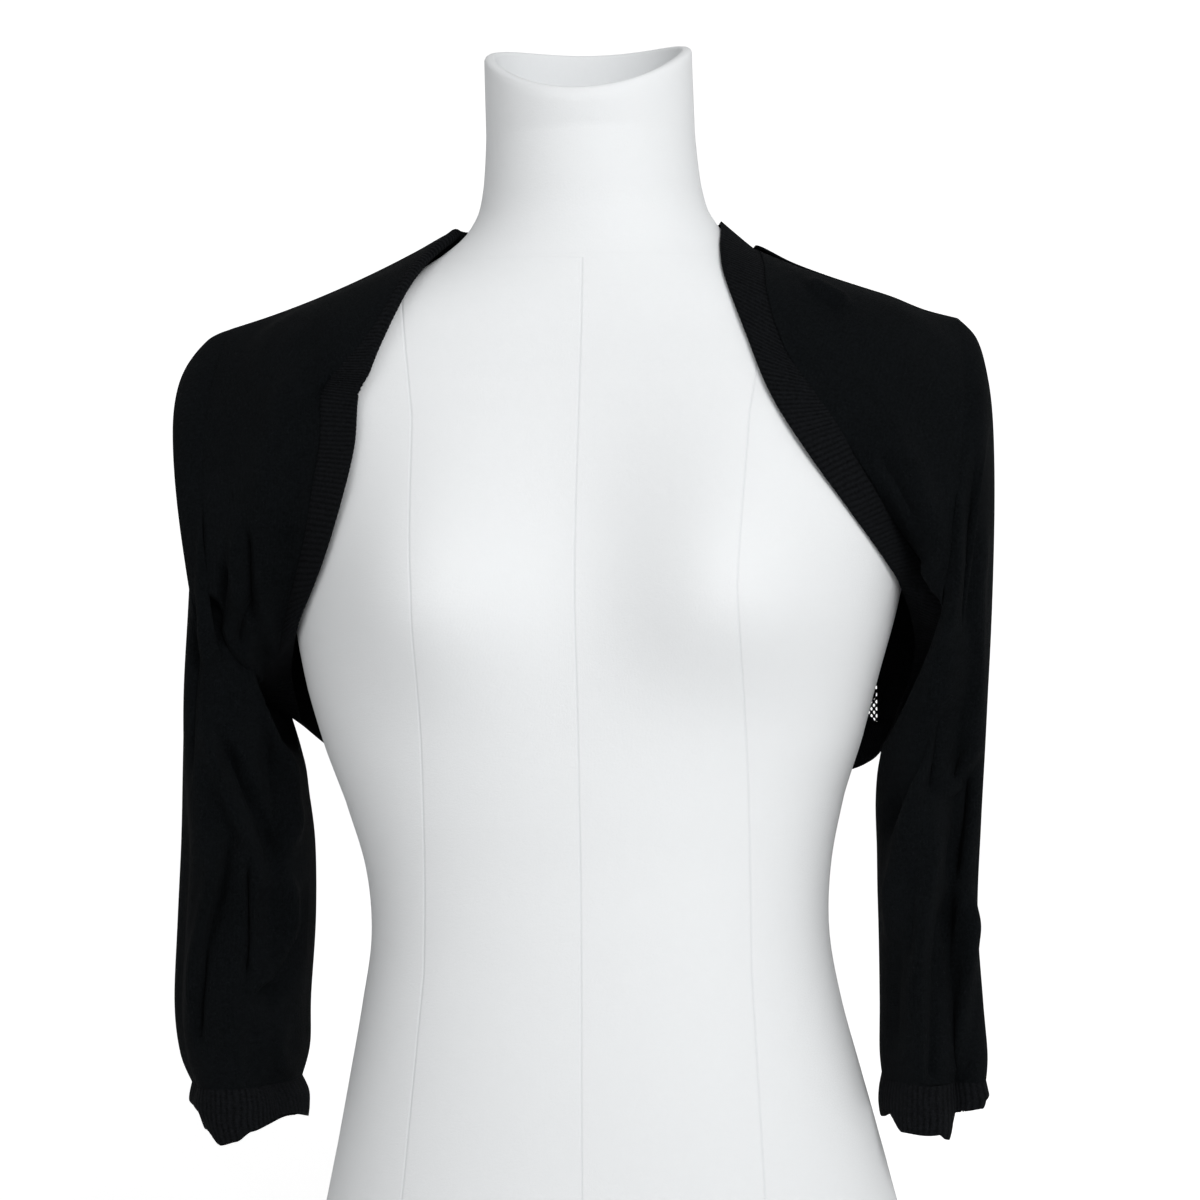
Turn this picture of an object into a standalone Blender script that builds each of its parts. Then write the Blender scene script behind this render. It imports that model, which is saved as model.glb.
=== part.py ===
# A knitted shrug worn on a limbless dress form.
# Sizes below are in millimetres; MM turns them into metres when a mesh is made.
# +Z is up, the wearer faces -Y, and the wearer's left is +X.
import math

import bpy
from mathutils import Vector
from mathutils.bvhtree import BVHTree

MM = 0.001

# Cloth
CLOTH_WALL = 1.4            # thickness of every cloth piece
SEAM_GAP = 0.3              # space left between two pieces where they are sewn
LACE_GAP = 0.6              # the same, round the lace
BAND_GAP = 1.5              # the same, between a front and its band, where both twist
END_TRIM = 0.45             # cut off the end of a strip where it meets the next
BAND_WIDTH = 24.0           # rib band from its seam to its free edge
FORM_CLEARANCE = 2.2        # least space from the form to the middle of the cloth
PANEL_CLEARANCE = 4.0       # the same, for the panels
CELL_CLEARANCE = 3.1        # the same, for the middle of one cell of a panel
CELL_LIFT = 0.7             # share of a cell's lift its corners take at a time
CELL_PASSES = 6
TUCK_RADIUS = 2.0           # bend of the band where it is tucked under
LEAST_TUCK = 3.0            # a smaller tuck is left flat
TUCK_LIFTS = (5.0, 5.0, 4.6, 3.6, 2.6)   # extra room under the panel over a tuck
MITRE_LIMIT = math.radians(55.0)    # seams bent less than this are mitred
BEND_LIMIT = math.radians(140.0)    # sharpest bend allowed for at a seam
FRONT_SWELL = 5.0           # fullness of a front panel before it is laid on the form
BACK_SWELL = 4.0            # fullness of the back before it is laid on the form
ARMHOLE_BLEND = 0.32        # share of the sleeve that takes the armhole's shape
UNDERARM_BLEND = 0.30       # more of it, below the arm
UNDERARM_EASE = 8.0         # the sleeve stands off the panels at the underarm
UNDERARM_TURN = 184.0       # middle of that stretch of the armhole
UNDERARM_SPREAD = 50.0      # and how far it reaches round, in degrees
UNDERARM_REACH = 0.6        # and down the sleeve, as a share of its length
BACK_INSET = 9.0            # the back is drawn in under the sleeve there
FRONT_INSET = 11.0          # and the fronts are
FRONT_END = 13              # last row of a front, where it has narrowed to nothing
INSET_SPREAD = 50.0         # and how far round, in degrees
UNSEWN = (105.0, 245.0)     # the sleeve is left free between these turns

# Dress form
FORM_SIDES = 40             # points round one section of the form
BASE_EDGE = 3.0             # height of the rounded edge round the flat base
BASE_SHRINK = 0.983         # and how far the base lies inside it
BUST_HEIGHT = 390.0         # height of the fullest part of the bust
BUST_SPREAD = 80.0          # bust point from the middle of the form
BUST_DEPTH = 38.0           # how far the bust stands out of the chest
BUST_WIDTH = 40.0           # spread of one bust sideways
BUST_ABOVE = 55.0           # spread of the bust upwards
BUST_BELOW = 36.0           # spread of the bust downwards
BUST_SHIFT = -3.0           # sideways shift of both busts
BUST_LOW = 309.0            # sections are closer together from here
BUST_HIGH = 480.0           # up to here
RIM_WIDTH = 6.0             # width of the rim round the open neck
RIM_DEPTH = 52.0            # half the neck rim, front to back
RIM_SLOPE = 15.0            # rise of the neck rim from its middle to the back
RIM_LOBES = 4.0             # rise of the rim at its two sides
RECESS_FLOOR = 628.0        # height of the floor inside the open neck

# One row per section of the form, from the flat base to the neck.
FORM_COLUMNS = ("height", "half_width", "centre_x", "centre_y", "front", "back", "power")
FORM_SECTIONS = (
    (0, 167.0, 0.0, 8, 112, 112, 2.2),
    (34, 160.0, 0.0, 8, 111, 110, 2.2),
    (67, 151.5, -0.5, 6, 108, 105, 2.2),
    (100, 143.6, -1.0, 5, 104, 97, 2.2),
    (138, 134.8, -2.0, 2, 98, 86, 2.15),
    (175, 126.5, -3.0, 0, 92, 78, 2.15),
    (210, 121.2, -3.0, -1, 88, 74, 2.1),
    (245, 123.4, -3.5, 1, 88, 77, 2.1),
    (281, 132.5, -5.0, 3, 92, 83, 2.1),
    (309, 142.5, -5.5, 5, 95, 88, 2.15),
    (341, 151.5, -5.5, 7, 98, 93, 2.2),
    (376, 159.8, -3.5, 9, 100, 96, 2.25),
    (412, 166.5, -2.0, 10, 99, 99, 2.3),
    (448, 173.5, -2.0, 11, 92, 99, 2.4),
    (480, 180.5, -2.0, 12, 84, 95, 2.5),
    (502, 186.5, -2.0, 12, 77, 90, 2.5),
    (515, 187.5, -2.0, 12, 72, 86, 2.5),
    (526, 181.0, -2.0, 12, 68, 80, 2.35),
    (535, 164.0, -2.0, 12, 66, 76, 2.2),
    (544, 139.0, -2.0, 12, 64, 72, 2.15),
    (552, 117.0, -2.0, 12, 62, 67, 2.1),
    (560, 98.0, -1.5, 12, 60, 62, 2.05),
    (569, 82.0, -1.5, 12, 58, 57, 2.0),
    (579, 69.5, -1.0, 12, 57, 53, 2.0),
    (591, 61.5, -1.0, 11, 55, 50, 2.0),
    (606, 57.8, -1.0, 8, 54, 49, 2.0),
    (630, 55.6, -1.0, 4, 53, 50, 2.0),
    (650, 55.0, -1.0, 0, 52, 51, 2.0),
)
RIM_HEIGHT = 669.0          # mean height of the neck rim
RIM_CENTRE_Y = -3.0         # middle of the rim, front to back

# The armhole seams: a closed ring of points, by the turn round the arm.
# Turn 0 is the shoulder, 90 the front, 180 the underarm and 270 the back.
ARMHOLE_COLUMNS = ("turn", "x", "y", "z")
ARMHOLE_LEFT = (
    (0, 191, 10, 530),
    (38, 193, -26, 491),
    (75, 188, -44, 438),
    (112, 181, -42, 388),
    (148, 183, -20, 358),
    (180, 187, 28, 347),
    (212, 187, 50, 364),
    (255, 188, 58, 404),
    (295, 192, 54, 458),
    (328, 193, 40, 502),
)
ARMHOLE_RIGHT = (
    (0, -197, 10, 534),
    (38, -203, -26, 494),
    (75, -203, -45, 440),
    (112, -200, -45, 386),
    (148, -196, -24, 348),
    (180, -193, 26, 338),
    (212, -191, 56, 358),
    (255, -197, 58, 402),
    (295, -202, 54, 458),
    (328, -202, 40, 502),
)

# The rib band: a row per section, with its free edge, its seam edge and
# the width tucked under (0 where the band lies flat).
BAND_COLUMNS = ("edge_x", "edge_y", "edge_z", "seam_x", "seam_y", "seam_z", "tuck")
BAND_NECK = (
    (65, 9, 583, 83, 11, 568, 0),
    (61, 40, 586, 75, 50, 567, 0),
    (36, 60, 592, 43, 73, 570, 0),
    (0, 66, 594, 0, 79, 571, 0),
    (-36, 60, 592, -43, 73, 570, 0),
    (-62, 42, 587, -76, 51, 569, 8),
    (-70, 28, 584, -82, 34, 569, 15),
    (-72, 9, 582, -85, 10, 571, 22),
)
BAND_FRONT_LEFT = (
    (65, 9, 583, 83, 11, 568, 0),
    (68, -24, 568, 85, -20, 561, 0),
    (71, -42, 551, 89, -43, 542, 0),
    (82, -59, 520, 100, -60, 510, 0),
    (95, -73, 487, 118, -66, 486, 0),
    (114, -79, 456, 135, -62, 466, 0),
    (135, -67, 426, 155, -40, 436, 0),
    (151, -42, 402, 168, -24, 407, 0),
    (161, -10, 384, 175, -13, 378, 0),
    (166, 12, 363, 181, 2, 360, 0),
    (164, 22, 344, 181, 16, 349, 0),
    (158, 26, 328, 179, 30, 341, 0),
)
BAND_FRONT_RIGHT = (
    (-72, 9, 582, -85, 10, 571, 22),
    (-84, -15, 566, -96, -9, 559, 22),
    (-94, -39, 548, -108, -33, 544, 22),
    (-105, -57, 524, -125, -50, 522, 19),
    (-112, -65, 506, -131, -58, 507, 10),
    (-117, -66, 491, -134, -57, 494, 0),
    (-118, -75, 466, -137, -62, 468, 0),
    (-124, -82, 438, -144, -64, 442, 0),
    (-136, -74, 406, -158, -45, 408, 0),
    (-153, -46, 377, -170, -24, 366, 0),
    (-163, -12, 361, -180, -8, 350, 0),
    (-167, 6, 344, -185, 10, 341, 0),
    (-165, 20, 322, -185, 28, 333, 0),
)
BAND_HEM = (
    (158, 26, 328, 179, 30, 341, 0),
    (150, 56, 307, 164, 65, 325, 0),
    (140, 75, 294, 147, 83, 316, 0),
    (118, 91, 287, 121, 97, 310, 0),
    (64, 105, 286, 66, 109, 310, 0),
    (0, 110, 286, 0, 113, 310, 0),
    (-64, 105, 288, -66, 109, 312, 0),
    (-120, 90, 294, -124, 96, 317, 0),
    (-146, 71, 301, -154, 79, 322, 0),
    (-156, 52, 308, -170, 62, 326, 0),
    (-165, 20, 322, -185, 28, 333, 0),
)

# Sleeves: a row per ring, from just below the armhole down to the cuff seam.
# The outer line faces away from the body and the inner line faces it.
SLEEVE_COLUMNS = ("outer_x", "outer_z", "inner_x", "inner_z", "centre_y", "half_depth", "square")
SLEEVE_LEFT = (
    (191, 530, 187, 347, 10, 54, 2.0),
    (200.5, 519, 190, 336, 8, 52, 2.1),
    (205.5, 500, 187, 322, 6, 49, 2.1),
    (208, 474, 177, 307, 4, 46, 2.1),
    (208, 430, 159, 298, 4, 44, 2.2),
    (205.5, 372, 146.5, 289, 6, 44, 2.4),
    (201.5, 315, 143.5, 275, 9, 45, 2.5),
    (197.5, 265, 143.5, 248, 9, 45, 2.5),
    (194.5, 218, 144.5, 212, 7, 44, 2.5),
    (196.5, 174, 144.5, 172, 6, 43, 2.5),
    (198.5, 146, 144, 146, 5, 41, 2.4),
    (197.5, 131, 145, 133, 5, 38, 2.3),
)
SLEEVE_RIGHT = (
    (-197, 534, -193, 338, 10, 54, 2.0),
    (-209.5, 528, -200, 328, 8, 52, 2.1),
    (-221.5, 511, -199, 314, 6, 49, 2.1),
    (-222, 490, -190, 303, 4, 46, 2.1),
    (-215.5, 458, -174, 297, 4, 44, 2.2),
    (-219, 398, -164.5, 292, 6, 44, 2.4),
    (-224, 320, -162, 283, 10, 46, 2.5),
    (-226.5, 264, -158.5, 256, 8, 45, 2.5),
    (-229.5, 218, -158.5, 216, 7, 44, 2.5),
    (-232, 174, -161.5, 174, 6, 43, 2.5),
    (-229.5, 147, -162, 148, 5, 41, 2.4),
    (-223.5, 131, -166.5, 131, 5, 38, 2.3),
)
# Cuffs: same columns, from the cuff seam down to the open end.
CUFF_LEFT = (
    (197.5, 131, 145, 133, 5, 38, 2.3),
    (198.5, 125, 143.5, 125, 5, 40, 2.3),
    (199, 118, 143, 116, 5, 41, 2.3),
    (198, 111, 143.5, 107, 5, 41, 2.3),
)
CUFF_RIGHT = (
    (-223.5, 131, -166.5, 131, 5, 38, 2.3),
    (-225, 122, -163, 123, 5, 40, 2.3),
    (-224, 113, -163, 115, 5, 41, 2.3),
    (-219, 102, -164, 109, 5, 41, 2.3),
)

# The largest folds of each sleeve: where each one runs round the arm (turn in
# degrees at its top and its end), its heights, its spread and how far it stands
# out (a minus sign is a hollow).
FOLD_COLUMNS = ("top", "turn_top", "end", "turn_end", "spread", "depth")
FOLDS_LEFT = (
    (322, 60, 90, 62, 14, -13),
    (330, 36, 90, 34, 11, 5),
    (300, 98, 90, 100, 15, 6),
    (440, 112, 250, 142, 22, -10),
    (330, 250, 110, 262, 18, -8),
    (330, 300, 150, 292, 16, 6),
)
FOLDS_RIGHT = (
    (330, 44, 235, 84, 13, 7),
    (285, 78, 190, 92, 10, -7),
    (440, 112, 110, 138, 24, -13),
    (425, 238, 325, 250, 20, -12),
    (270, 38, 120, 30, 10, -5),
    (250, 104, 185, 100, 12, 7),
    (330, 268, 110, 250, 18, -8),
)
FOLD_FADE = 8.0             # a fold dies away over a few times this length

# Cloth panels
SLEEVE_SIDES = 32           # points round one ring of a sleeve
SLEEVE_RINGS = 15
PANEL_ROWS = 17             # half a sleeve ring, so the armhole points meet
PANEL_COLUMNS = 7
NECK_ROWS = 13
BACK_ROWS = 18              # armhole rows and one more for the side seam
BACK_COLUMNS = 25           # two shoulders and the neck between them
BAND_COLUMNS_FLAT = 3
BAND_COLUMNS_TUCKED = 9
LACE_ROW = 9                # row of the back where the lace begins
LACE_COLUMN = 3             # columns of plain knit left beside the lace
SHOULDER_SAG = 4.0          # dip of the shoulder seam between its ends

# Creases of the front panels near the underarm: place along the front edge,
# place across from the band to the armhole, spreads and height.
CREASE_COLUMNS = ("along", "across", "long_spread", "cross_spread", "height")
CREASES_LEFT = (
    (0.56, 0.86, 0.20, 0.10, 3.0),
    (0.16, 0.45, 0.05, 0.30, 2.5),
)
CREASES_RIGHT = (
    (0.74, 0.62, 0.13, 0.09, -4.0),
    (0.72, 0.80, 0.14, 0.08, 3.5),
    (0.74, 0.44, 0.12, 0.08, 3.0),
)

MATERIALS = {
    "form_cover": ((0.86, 0.86, 0.87, 1.0), 0.9),
    "black_knit": ((0.012, 0.013, 0.015, 1.0), 0.92),
    "black_rib": ((0.015, 0.014, 0.018, 1.0), 0.9),
    "black_lace": ((0.013, 0.013, 0.015, 1.0), 0.9),
}


def clear_scene():
    for item in list(bpy.data.objects):
        bpy.data.objects.remove(item, do_unlink=True)


def make_material(name):
    color, roughness = MATERIALS[name]
    material = bpy.data.materials.new(name)
    material.use_nodes = True
    shader = material.node_tree.nodes["Principled BSDF"]
    shader.inputs["Base Color"].default_value = color
    shader.inputs["Roughness"].default_value = roughness
    material.diffuse_color = color
    return material


def signed_volume(points, faces):
    total = 0.0
    for face in faces:
        first = points[face[0]]
        for second, third in zip(face[1:-1], face[2:]):
            total += first.dot(points[second].cross(points[third]))
    return total / 6.0


def add_solid(name, points, faces, material, smooth=True):
    if signed_volume(points, faces) < 0.0:
        faces = [tuple(reversed(face)) for face in faces]
    mesh = bpy.data.meshes.new(name)
    mesh.from_pydata([tuple(point * MM) for point in points], [], faces)
    mesh.update()
    mesh.materials.append(material)
    mesh.polygons.foreach_set("use_smooth", [smooth] * len(mesh.polygons))
    solid = bpy.data.objects.new(name, mesh)
    bpy.context.scene.collection.objects.link(solid)
    return solid


def spline(rows, place):
    """Values of a table at a place from 0 (first row) to 1 (last row)."""
    last = len(rows) - 1
    spot = min(max(place, 0.0), 1.0) * last
    index = min(int(spot), last - 1)
    t = spot - index
    before = rows[max(index - 1, 0)]
    start = rows[index]
    end = rows[index + 1]
    after = rows[min(index + 2, last)]
    values = []
    for a, b, c, d in zip(before, start, end, after):
        value = 0.5 * (
            2.0 * b
            + (c - a) * t
            + (2.0 * a - 5.0 * b + 4.0 * c - d) * t * t
            + (3.0 * b - a - 3.0 * c + d) * t * t * t
        )
        values.append(value)
    return values


def ring_spline(rows, turn):
    """Point of a closed table whose first column is the turn in degrees."""
    count = len(rows)
    turn = turn % 360.0
    index = max(i for i in range(count) if rows[i][0] <= turn)
    start = rows[index]
    end = rows[(index + 1) % count]
    before = rows[(index - 1) % count]
    after = rows[(index + 2) % count]
    end_turn = end[0] if end[0] > start[0] else 360.0
    t = (turn - start[0]) / (end_turn - start[0])
    return Vector(spline((before[1:], start[1:], end[1:], after[1:]), (1.0 + t) / 3.0))


def form_section(height):
    """Section values of the form at a height, on a smooth curve through the table."""
    rows = FORM_SECTIONS
    height = min(max(height, rows[0][0]), rows[-1][0])
    index = max(i for i in range(len(rows) - 1) if rows[i][0] <= height)
    share = (height - rows[index][0]) / (rows[index + 1][0] - rows[index][0])
    return spline(rows, (index + share) / (len(rows) - 1))[1:]


def bust(x, height):
    spread = BUST_BELOW if height < BUST_HEIGHT else BUST_ABOVE
    depth = 0.0
    for side in (-1.0, 1.0):
        across = (x - side * BUST_SPREAD - BUST_SHIFT) / BUST_WIDTH
        along = (height - BUST_HEIGHT) / spread
        depth += BUST_DEPTH * math.exp(-0.5 * (across * across + along * along))
    return depth


def form_point(height, angle):
    half_width, centre_x, centre_y, front, back, power = form_section(height)
    cosine = math.cos(angle)
    sine = math.sin(angle)
    x = centre_x + half_width * math.copysign(abs(cosine) ** (2.0 / power), cosine)
    reach = abs(sine) ** (2.0 / power)
    if sine < 0.0:
        return Vector((x, centre_y - front * reach - bust(x, height) * reach ** 0.3, height))
    return Vector((x, centre_y + back * reach, height))


def rim_point(angle, drop, inset):
    radius_x = FORM_SECTIONS[-1][1] - inset
    radius_y = RIM_DEPTH - inset
    slope = RIM_SLOPE * math.sin(angle)
    lobes = RIM_LOBES * (math.cos(angle) ** 2 - 0.5)
    x = FORM_SECTIONS[-1][2] + radius_x * math.cos(angle)
    y = RIM_CENTRE_Y + radius_y * math.sin(angle)
    return Vector((x, y, RIM_HEIGHT + slope + lobes - drop))


def build_form(material):
    heights = []
    for low, high in zip(FORM_SECTIONS, FORM_SECTIONS[1:]):
        heights.append(float(low[0]))
        if BUST_LOW <= low[0] < BUST_HIGH:
            heights.append((low[0] + high[0]) / 2.0)
    heights.append(FORM_SECTIONS[-1][0] - 6.0)
    angles = [2.0 * math.pi * i / FORM_SIDES for i in range(FORM_SIDES)]
    rings = [[form_point(height, angle) for angle in angles] for height in heights]
    # Round the bottom edge a little so the base is a clean flat face.
    base = [Vector((p.x * BASE_SHRINK, p.y * BASE_SHRINK, 0.0)) for p in rings[0]]
    rings[0] = [Vector((p.x, p.y, BASE_EDGE)) for p in rings[0]]
    rings.insert(0, base)
    # The outer wall above the last section leans into the sloping rim.
    for drop, inset in ((3.0, 0.0), (0.6, 0.8), (0.0, 2.2), (0.0, RIM_WIDTH - 1.4), (1.2, RIM_WIDTH)):
        rings.append([rim_point(angle, drop, inset) for angle in angles])
    floor = []
    for angle in angles:
        point = rim_point(angle, 0.0, RIM_WIDTH + 1.5)
        floor.append(Vector((point.x, point.y + 2.0, RECESS_FLOOR)))
    rings.append(floor)
    points = [point for ring in rings for point in ring]
    faces = []
    for row in range(len(rings) - 1):
        for i in range(FORM_SIDES):
            j = (i + 1) % FORM_SIDES
            low = row * FORM_SIDES
            high = low + FORM_SIDES
            faces.append((low + i, low + j, high + j, high + i))
    for ring, flip in ((0, True), (len(rings) - 1, False)):
        start = ring * FORM_SIDES
        centre = sum((points[start + i] for i in range(FORM_SIDES)), Vector()) / FORM_SIDES
        points.append(centre)
        hub = len(points) - 1
        for i in range(FORM_SIDES):
            j = (i + 1) % FORM_SIDES
            if flip:
                faces.append((start + j, start + i, hub))
            else:
                faces.append((start + i, start + j, hub))
    return add_solid("dress_form", points, faces, material)


def form_tree(form):
    points = [vertex.co / MM for vertex in form.data.vertices]
    faces = [tuple(polygon.vertices) for polygon in form.data.polygons]
    return BVHTree.FromPolygons(points, faces)


def push_clear(tree, point, gap):
    """Move a point out until it is at least a gap from the form."""
    spot, normal, _, distance = tree.find_nearest(point)
    outside = (point - spot).dot(normal) > 0.0
    if outside and distance >= gap:
        return point
    return spot + normal * gap


def lift_cells(tree, grid, gap):
    """Lift the corners of every cell whose middle is too near the form."""
    for i in range(len(grid) - 1):
        for j in range(len(grid[0]) - 1):
            ring = ((i, j), (i, j + 1), (i + 1, j + 1), (i + 1, j))
            middle = sum((grid[a][b] for a, b in ring), Vector()) / 4.0
            lift = push_clear(tree, middle, gap) - middle
            if lift.length > 0.0:
                for a, b in ring:
                    grid[a][b] = grid[a][b] + lift * CELL_LIFT
    return grid


def ease_grid(tree, grid, gap, passes=2):
    """Lay a grid over the form and even it out, keeping its four borders."""
    for _ in range(passes):
        grid = [[push_clear(tree, point, gap) for point in row] for row in grid]
        soft = [list(row) for row in grid]
        for i in range(1, len(grid) - 1):
            for j in range(1, len(grid[0]) - 1):
                around = grid[i - 1][j] + grid[i + 1][j] + grid[i][j - 1] + grid[i][j + 1]
                soft[i][j] = grid[i][j] * 0.4 + around * 0.15
        grid = soft
    grid = [[push_clear(tree, point, gap) for point in row] for row in grid]
    for _ in range(CELL_PASSES):
        grid = lift_cells(tree, grid, CELL_CLEARANCE)
    return grid


class Sheet:
    """One piece of cloth: a grid of middle points with a normal at each."""

    def __init__(self, name, grid, material, closed=False, skip=None):
        self.name = name
        self.grid = grid
        self.material = material
        self.closed = closed
        self.skip = skip
        self.normals = grid_normals(grid, closed)

    def inward(self, i, j, step):
        """Direction from a border point to the next point inside the piece."""
        near = self.grid[i + step[0]][(j + step[1]) % len(self.grid[0])]
        return (near - self.grid[i][j]).normalized()


def grid_normals(grid, closed):
    rows = len(grid)
    columns = len(grid[0])
    normals = []
    for i in range(rows):
        line = []
        for j in range(columns):
            above = grid[max(i - 1, 0)][j]
            below = grid[min(i + 1, rows - 1)][j]
            if closed:
                left = grid[i][(j - 1) % columns]
                right = grid[i][(j + 1) % columns]
            else:
                left = grid[i][max(j - 1, 0)]
                right = grid[i][min(j + 1, columns - 1)]
            line.append((below - above).cross(right - left).normalized())
        normals.append(line)
    return normals


def sew(first, first_border, first_step, second, second_border, second_step, gap=SEAM_GAP):
    """Set two borders face to face, a gap apart at their nearest corners."""
    moves = []
    for (i, j), (k, m) in zip(first_border, second_border):
        middle = (first.grid[i][j] + second.grid[k][m]) / 2.0
        one = first.inward(i, j, first_step)
        two = second.inward(k, m, second_step)
        bend = math.acos(max(-1.0, min(1.0, -one.dot(two))))
        normal_one = first.normals[i][j]
        normal_two = second.normals[k][m]
        if bend < MITRE_LIMIT:
            sign = 1.0 if normal_one.dot(normal_two) > 0.0 else -1.0
            shared = (normal_one + normal_two * sign).normalized()
            across = one - two
            across = (across - shared * across.dot(shared)).normalized()
            moves.append((middle + across * (gap / 2.0), shared, shared * sign,
                          middle - across * (gap / 2.0)))
        else:
            space = CLOTH_WALL * math.tan(min(bend, BEND_LIMIT) / 2.0) + gap
            moves.append((middle + one * (space / 2.0), normal_one, normal_two,
                          middle + two * (space / 2.0)))
    for (i, j), (k, m), move in zip(first_border, second_border, moves):
        first.grid[i][j] = move[0]
        first.normals[i][j] = move[1]
        second.normals[k][m] = move[2]
        second.grid[k][m] = move[3]


def trim(sheet, row, step):
    """Cut one end of a piece back a little, where three pieces may meet."""
    for j in range(len(sheet.grid[0])):
        towards = sheet.grid[row + step][j] - sheet.grid[row][j]
        sheet.grid[row][j] = sheet.grid[row][j] + towards.normalized() * END_TRIM


def add_wall(sheet):
    """A solid wall round the middle points of a sheet."""
    grid = sheet.grid
    normals = sheet.normals
    rows = len(grid)
    columns = len(grid[0])
    half = CLOTH_WALL / 2.0
    wide = columns if sheet.closed else columns - 1
    kept = set()
    for i in range(rows - 1):
        for j in range(wide):
            if not (sheet.skip and sheet.skip(i, j)):
                kept.add((i, j))
    used = {}
    points = []

    def corner(i, j, face):
        key = (i, j % columns, face)
        if key not in used:
            used[key] = len(points)
            offset = half if face == 0 else -half
            points.append(grid[i][j % columns] + normals[i][j % columns] * offset)
        return used[key]

    faces = []
    for i, j in sorted(kept):
        ring = ((i, j), (i, j + 1), (i + 1, j + 1), (i + 1, j))
        faces.append(tuple(corner(a, b, 0) for a, b in ring))
        faces.append(tuple(corner(a, b, 1) for a, b in reversed(ring)))
        sides = (
            ((i - 1, j), (i, j), (i, j + 1)),
            ((i, j + 1), (i, j + 1), (i + 1, j + 1)),
            ((i + 1, j), (i + 1, j + 1), (i + 1, j)),
            ((i, j - 1), (i + 1, j), (i, j)),
        )
        for beyond, start, end in sides:
            if sheet.closed:
                beyond = (beyond[0], beyond[1] % columns)
            if beyond not in kept:
                faces.append((corner(*end, 0), corner(*start, 0), corner(*start, 1), corner(*end, 1)))
    return add_solid(sheet.name, points, faces, sheet.material)


def band_frame(row, tree):
    """Free edge, inward and under directions and flat width of a band row."""
    edge = Vector(row[0:3])
    seam = Vector(row[3:6])
    tuck = row[6]
    folded = tuck >= LEAST_TUCK
    lift = FORM_CLEARANCE + (2.0 * TUCK_RADIUS + 1.0 if folded else 0.0)
    edge = push_clear(tree, edge, lift)
    seam = push_clear(tree, seam, lift)
    inward = (edge - seam).normalized()
    under = -tree.find_nearest(edge)[1]
    under = (under - inward * under.dot(inward)).normalized()
    flat = max(BAND_WIDTH - tuck, 0.0) if folded else BAND_WIDTH
    return edge, inward, under, flat, folded


def seam_point(row, tree):
    edge, inward, under, flat, folded = band_frame(row, tree)
    if folded:
        return edge - inward * (flat + TUCK_RADIUS)
    return edge - inward * BAND_WIDTH


def band_line(row, columns, tree):
    """Middle line of one band section, from its seam to its free edge."""
    edge, inward, under, flat, folded = band_frame(row, tree)
    start = seam_point(row, tree)
    bend = math.pi * TUCK_RADIUS
    line = []
    for k in range(columns):
        run = BAND_WIDTH * k / (columns - 1)
        if not folded or run <= flat:
            point = start + inward * run
        elif run <= flat + bend:
            turn = (run - flat) / TUCK_RADIUS
            point = start + inward * (flat + TUCK_RADIUS * math.sin(turn))
            point = point + under * (TUCK_RADIUS * (1.0 - math.cos(turn)))
        else:
            back = run - flat - bend
            point = start + inward * (flat - back) + under * (2.0 * TUCK_RADIUS)
        line.append(push_clear(tree, point, FORM_CLEARANCE))
    return line


def make_band(name, table, rows, tree, material, tucked=False):
    columns = BAND_COLUMNS_TUCKED if tucked else BAND_COLUMNS_FLAT
    grid = [band_line(spline(table, i / (rows - 1)), columns, tree) for i in range(rows)]
    sheet = Sheet(name, grid, material)
    trim(sheet, 0, 1)
    trim(sheet, rows - 1, -1)
    return sheet


def panel_crease(creases, along, across):
    height = 0.0
    for place, cross, long_spread, cross_spread, size in creases:
        reach = ((along - place) / long_spread) ** 2 + ((across - cross) / cross_spread) ** 2
        height += size * math.exp(-0.5 * reach)
    return height


def panel_side(armhole, turn, inset):
    """Point of a panel's armhole border, drawn in under the sleeve at the underarm."""
    point = ring_spline(armhole, turn)
    away = (turn - UNDERARM_TURN) / INSET_SPREAD
    point.x -= math.copysign(inset, point.x) * math.exp(-0.5 * away * away)
    return point


def shoulder_line(seam, outer, tree):
    """Points of a shoulder seam, from the band out to the armhole."""
    line = []
    for j in range(PANEL_COLUMNS):
        share = j / (PANEL_COLUMNS - 1)
        point = seam.lerp(outer, share)
        point.z -= SHOULDER_SAG * 4.0 * share * (1.0 - share)
        line.append(push_clear(tree, point, PANEL_CLEARANCE))
    return line


def make_front(name, band_table, armhole, creases, tree, material):
    """Front panel: a row per place along the band, from its seam to the armhole."""
    grid = []
    for i in range(PANEL_ROWS):
        along = i / (PANEL_ROWS - 1)
        start = seam_point(spline(band_table, along), tree)
        outer = panel_side(armhole, 180.0 * along, FRONT_INSET)
        line = []
        for j in range(PANEL_COLUMNS):
            across = j / (PANEL_COLUMNS - 1)
            point = start.lerp(outer, across)
            swell = 4.0 * across * (1.0 - across)
            point.y -= FRONT_SWELL * swell * math.sin(math.pi * along)
            point.y -= panel_crease(creases, along, across)
            line.append(point)
        if i == 0:
            line = shoulder_line(start, outer, tree)
        grid.append(line)
    grid = ease_grid(tree, grid, PANEL_CLEARANCE)
    # Where the band is tucked under, the panel beside it lies over both layers.
    for i in range(PANEL_ROWS):
        if spline(band_table, i / (PANEL_ROWS - 1))[6] >= LEAST_TUCK:
            for j, lift in enumerate(TUCK_LIFTS):
                grid[i][j] = push_clear(tree, grid[i][j], FORM_CLEARANCE + lift)
    return Sheet(name, grid, material, skip=lambda i, j: i >= FRONT_END)


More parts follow.
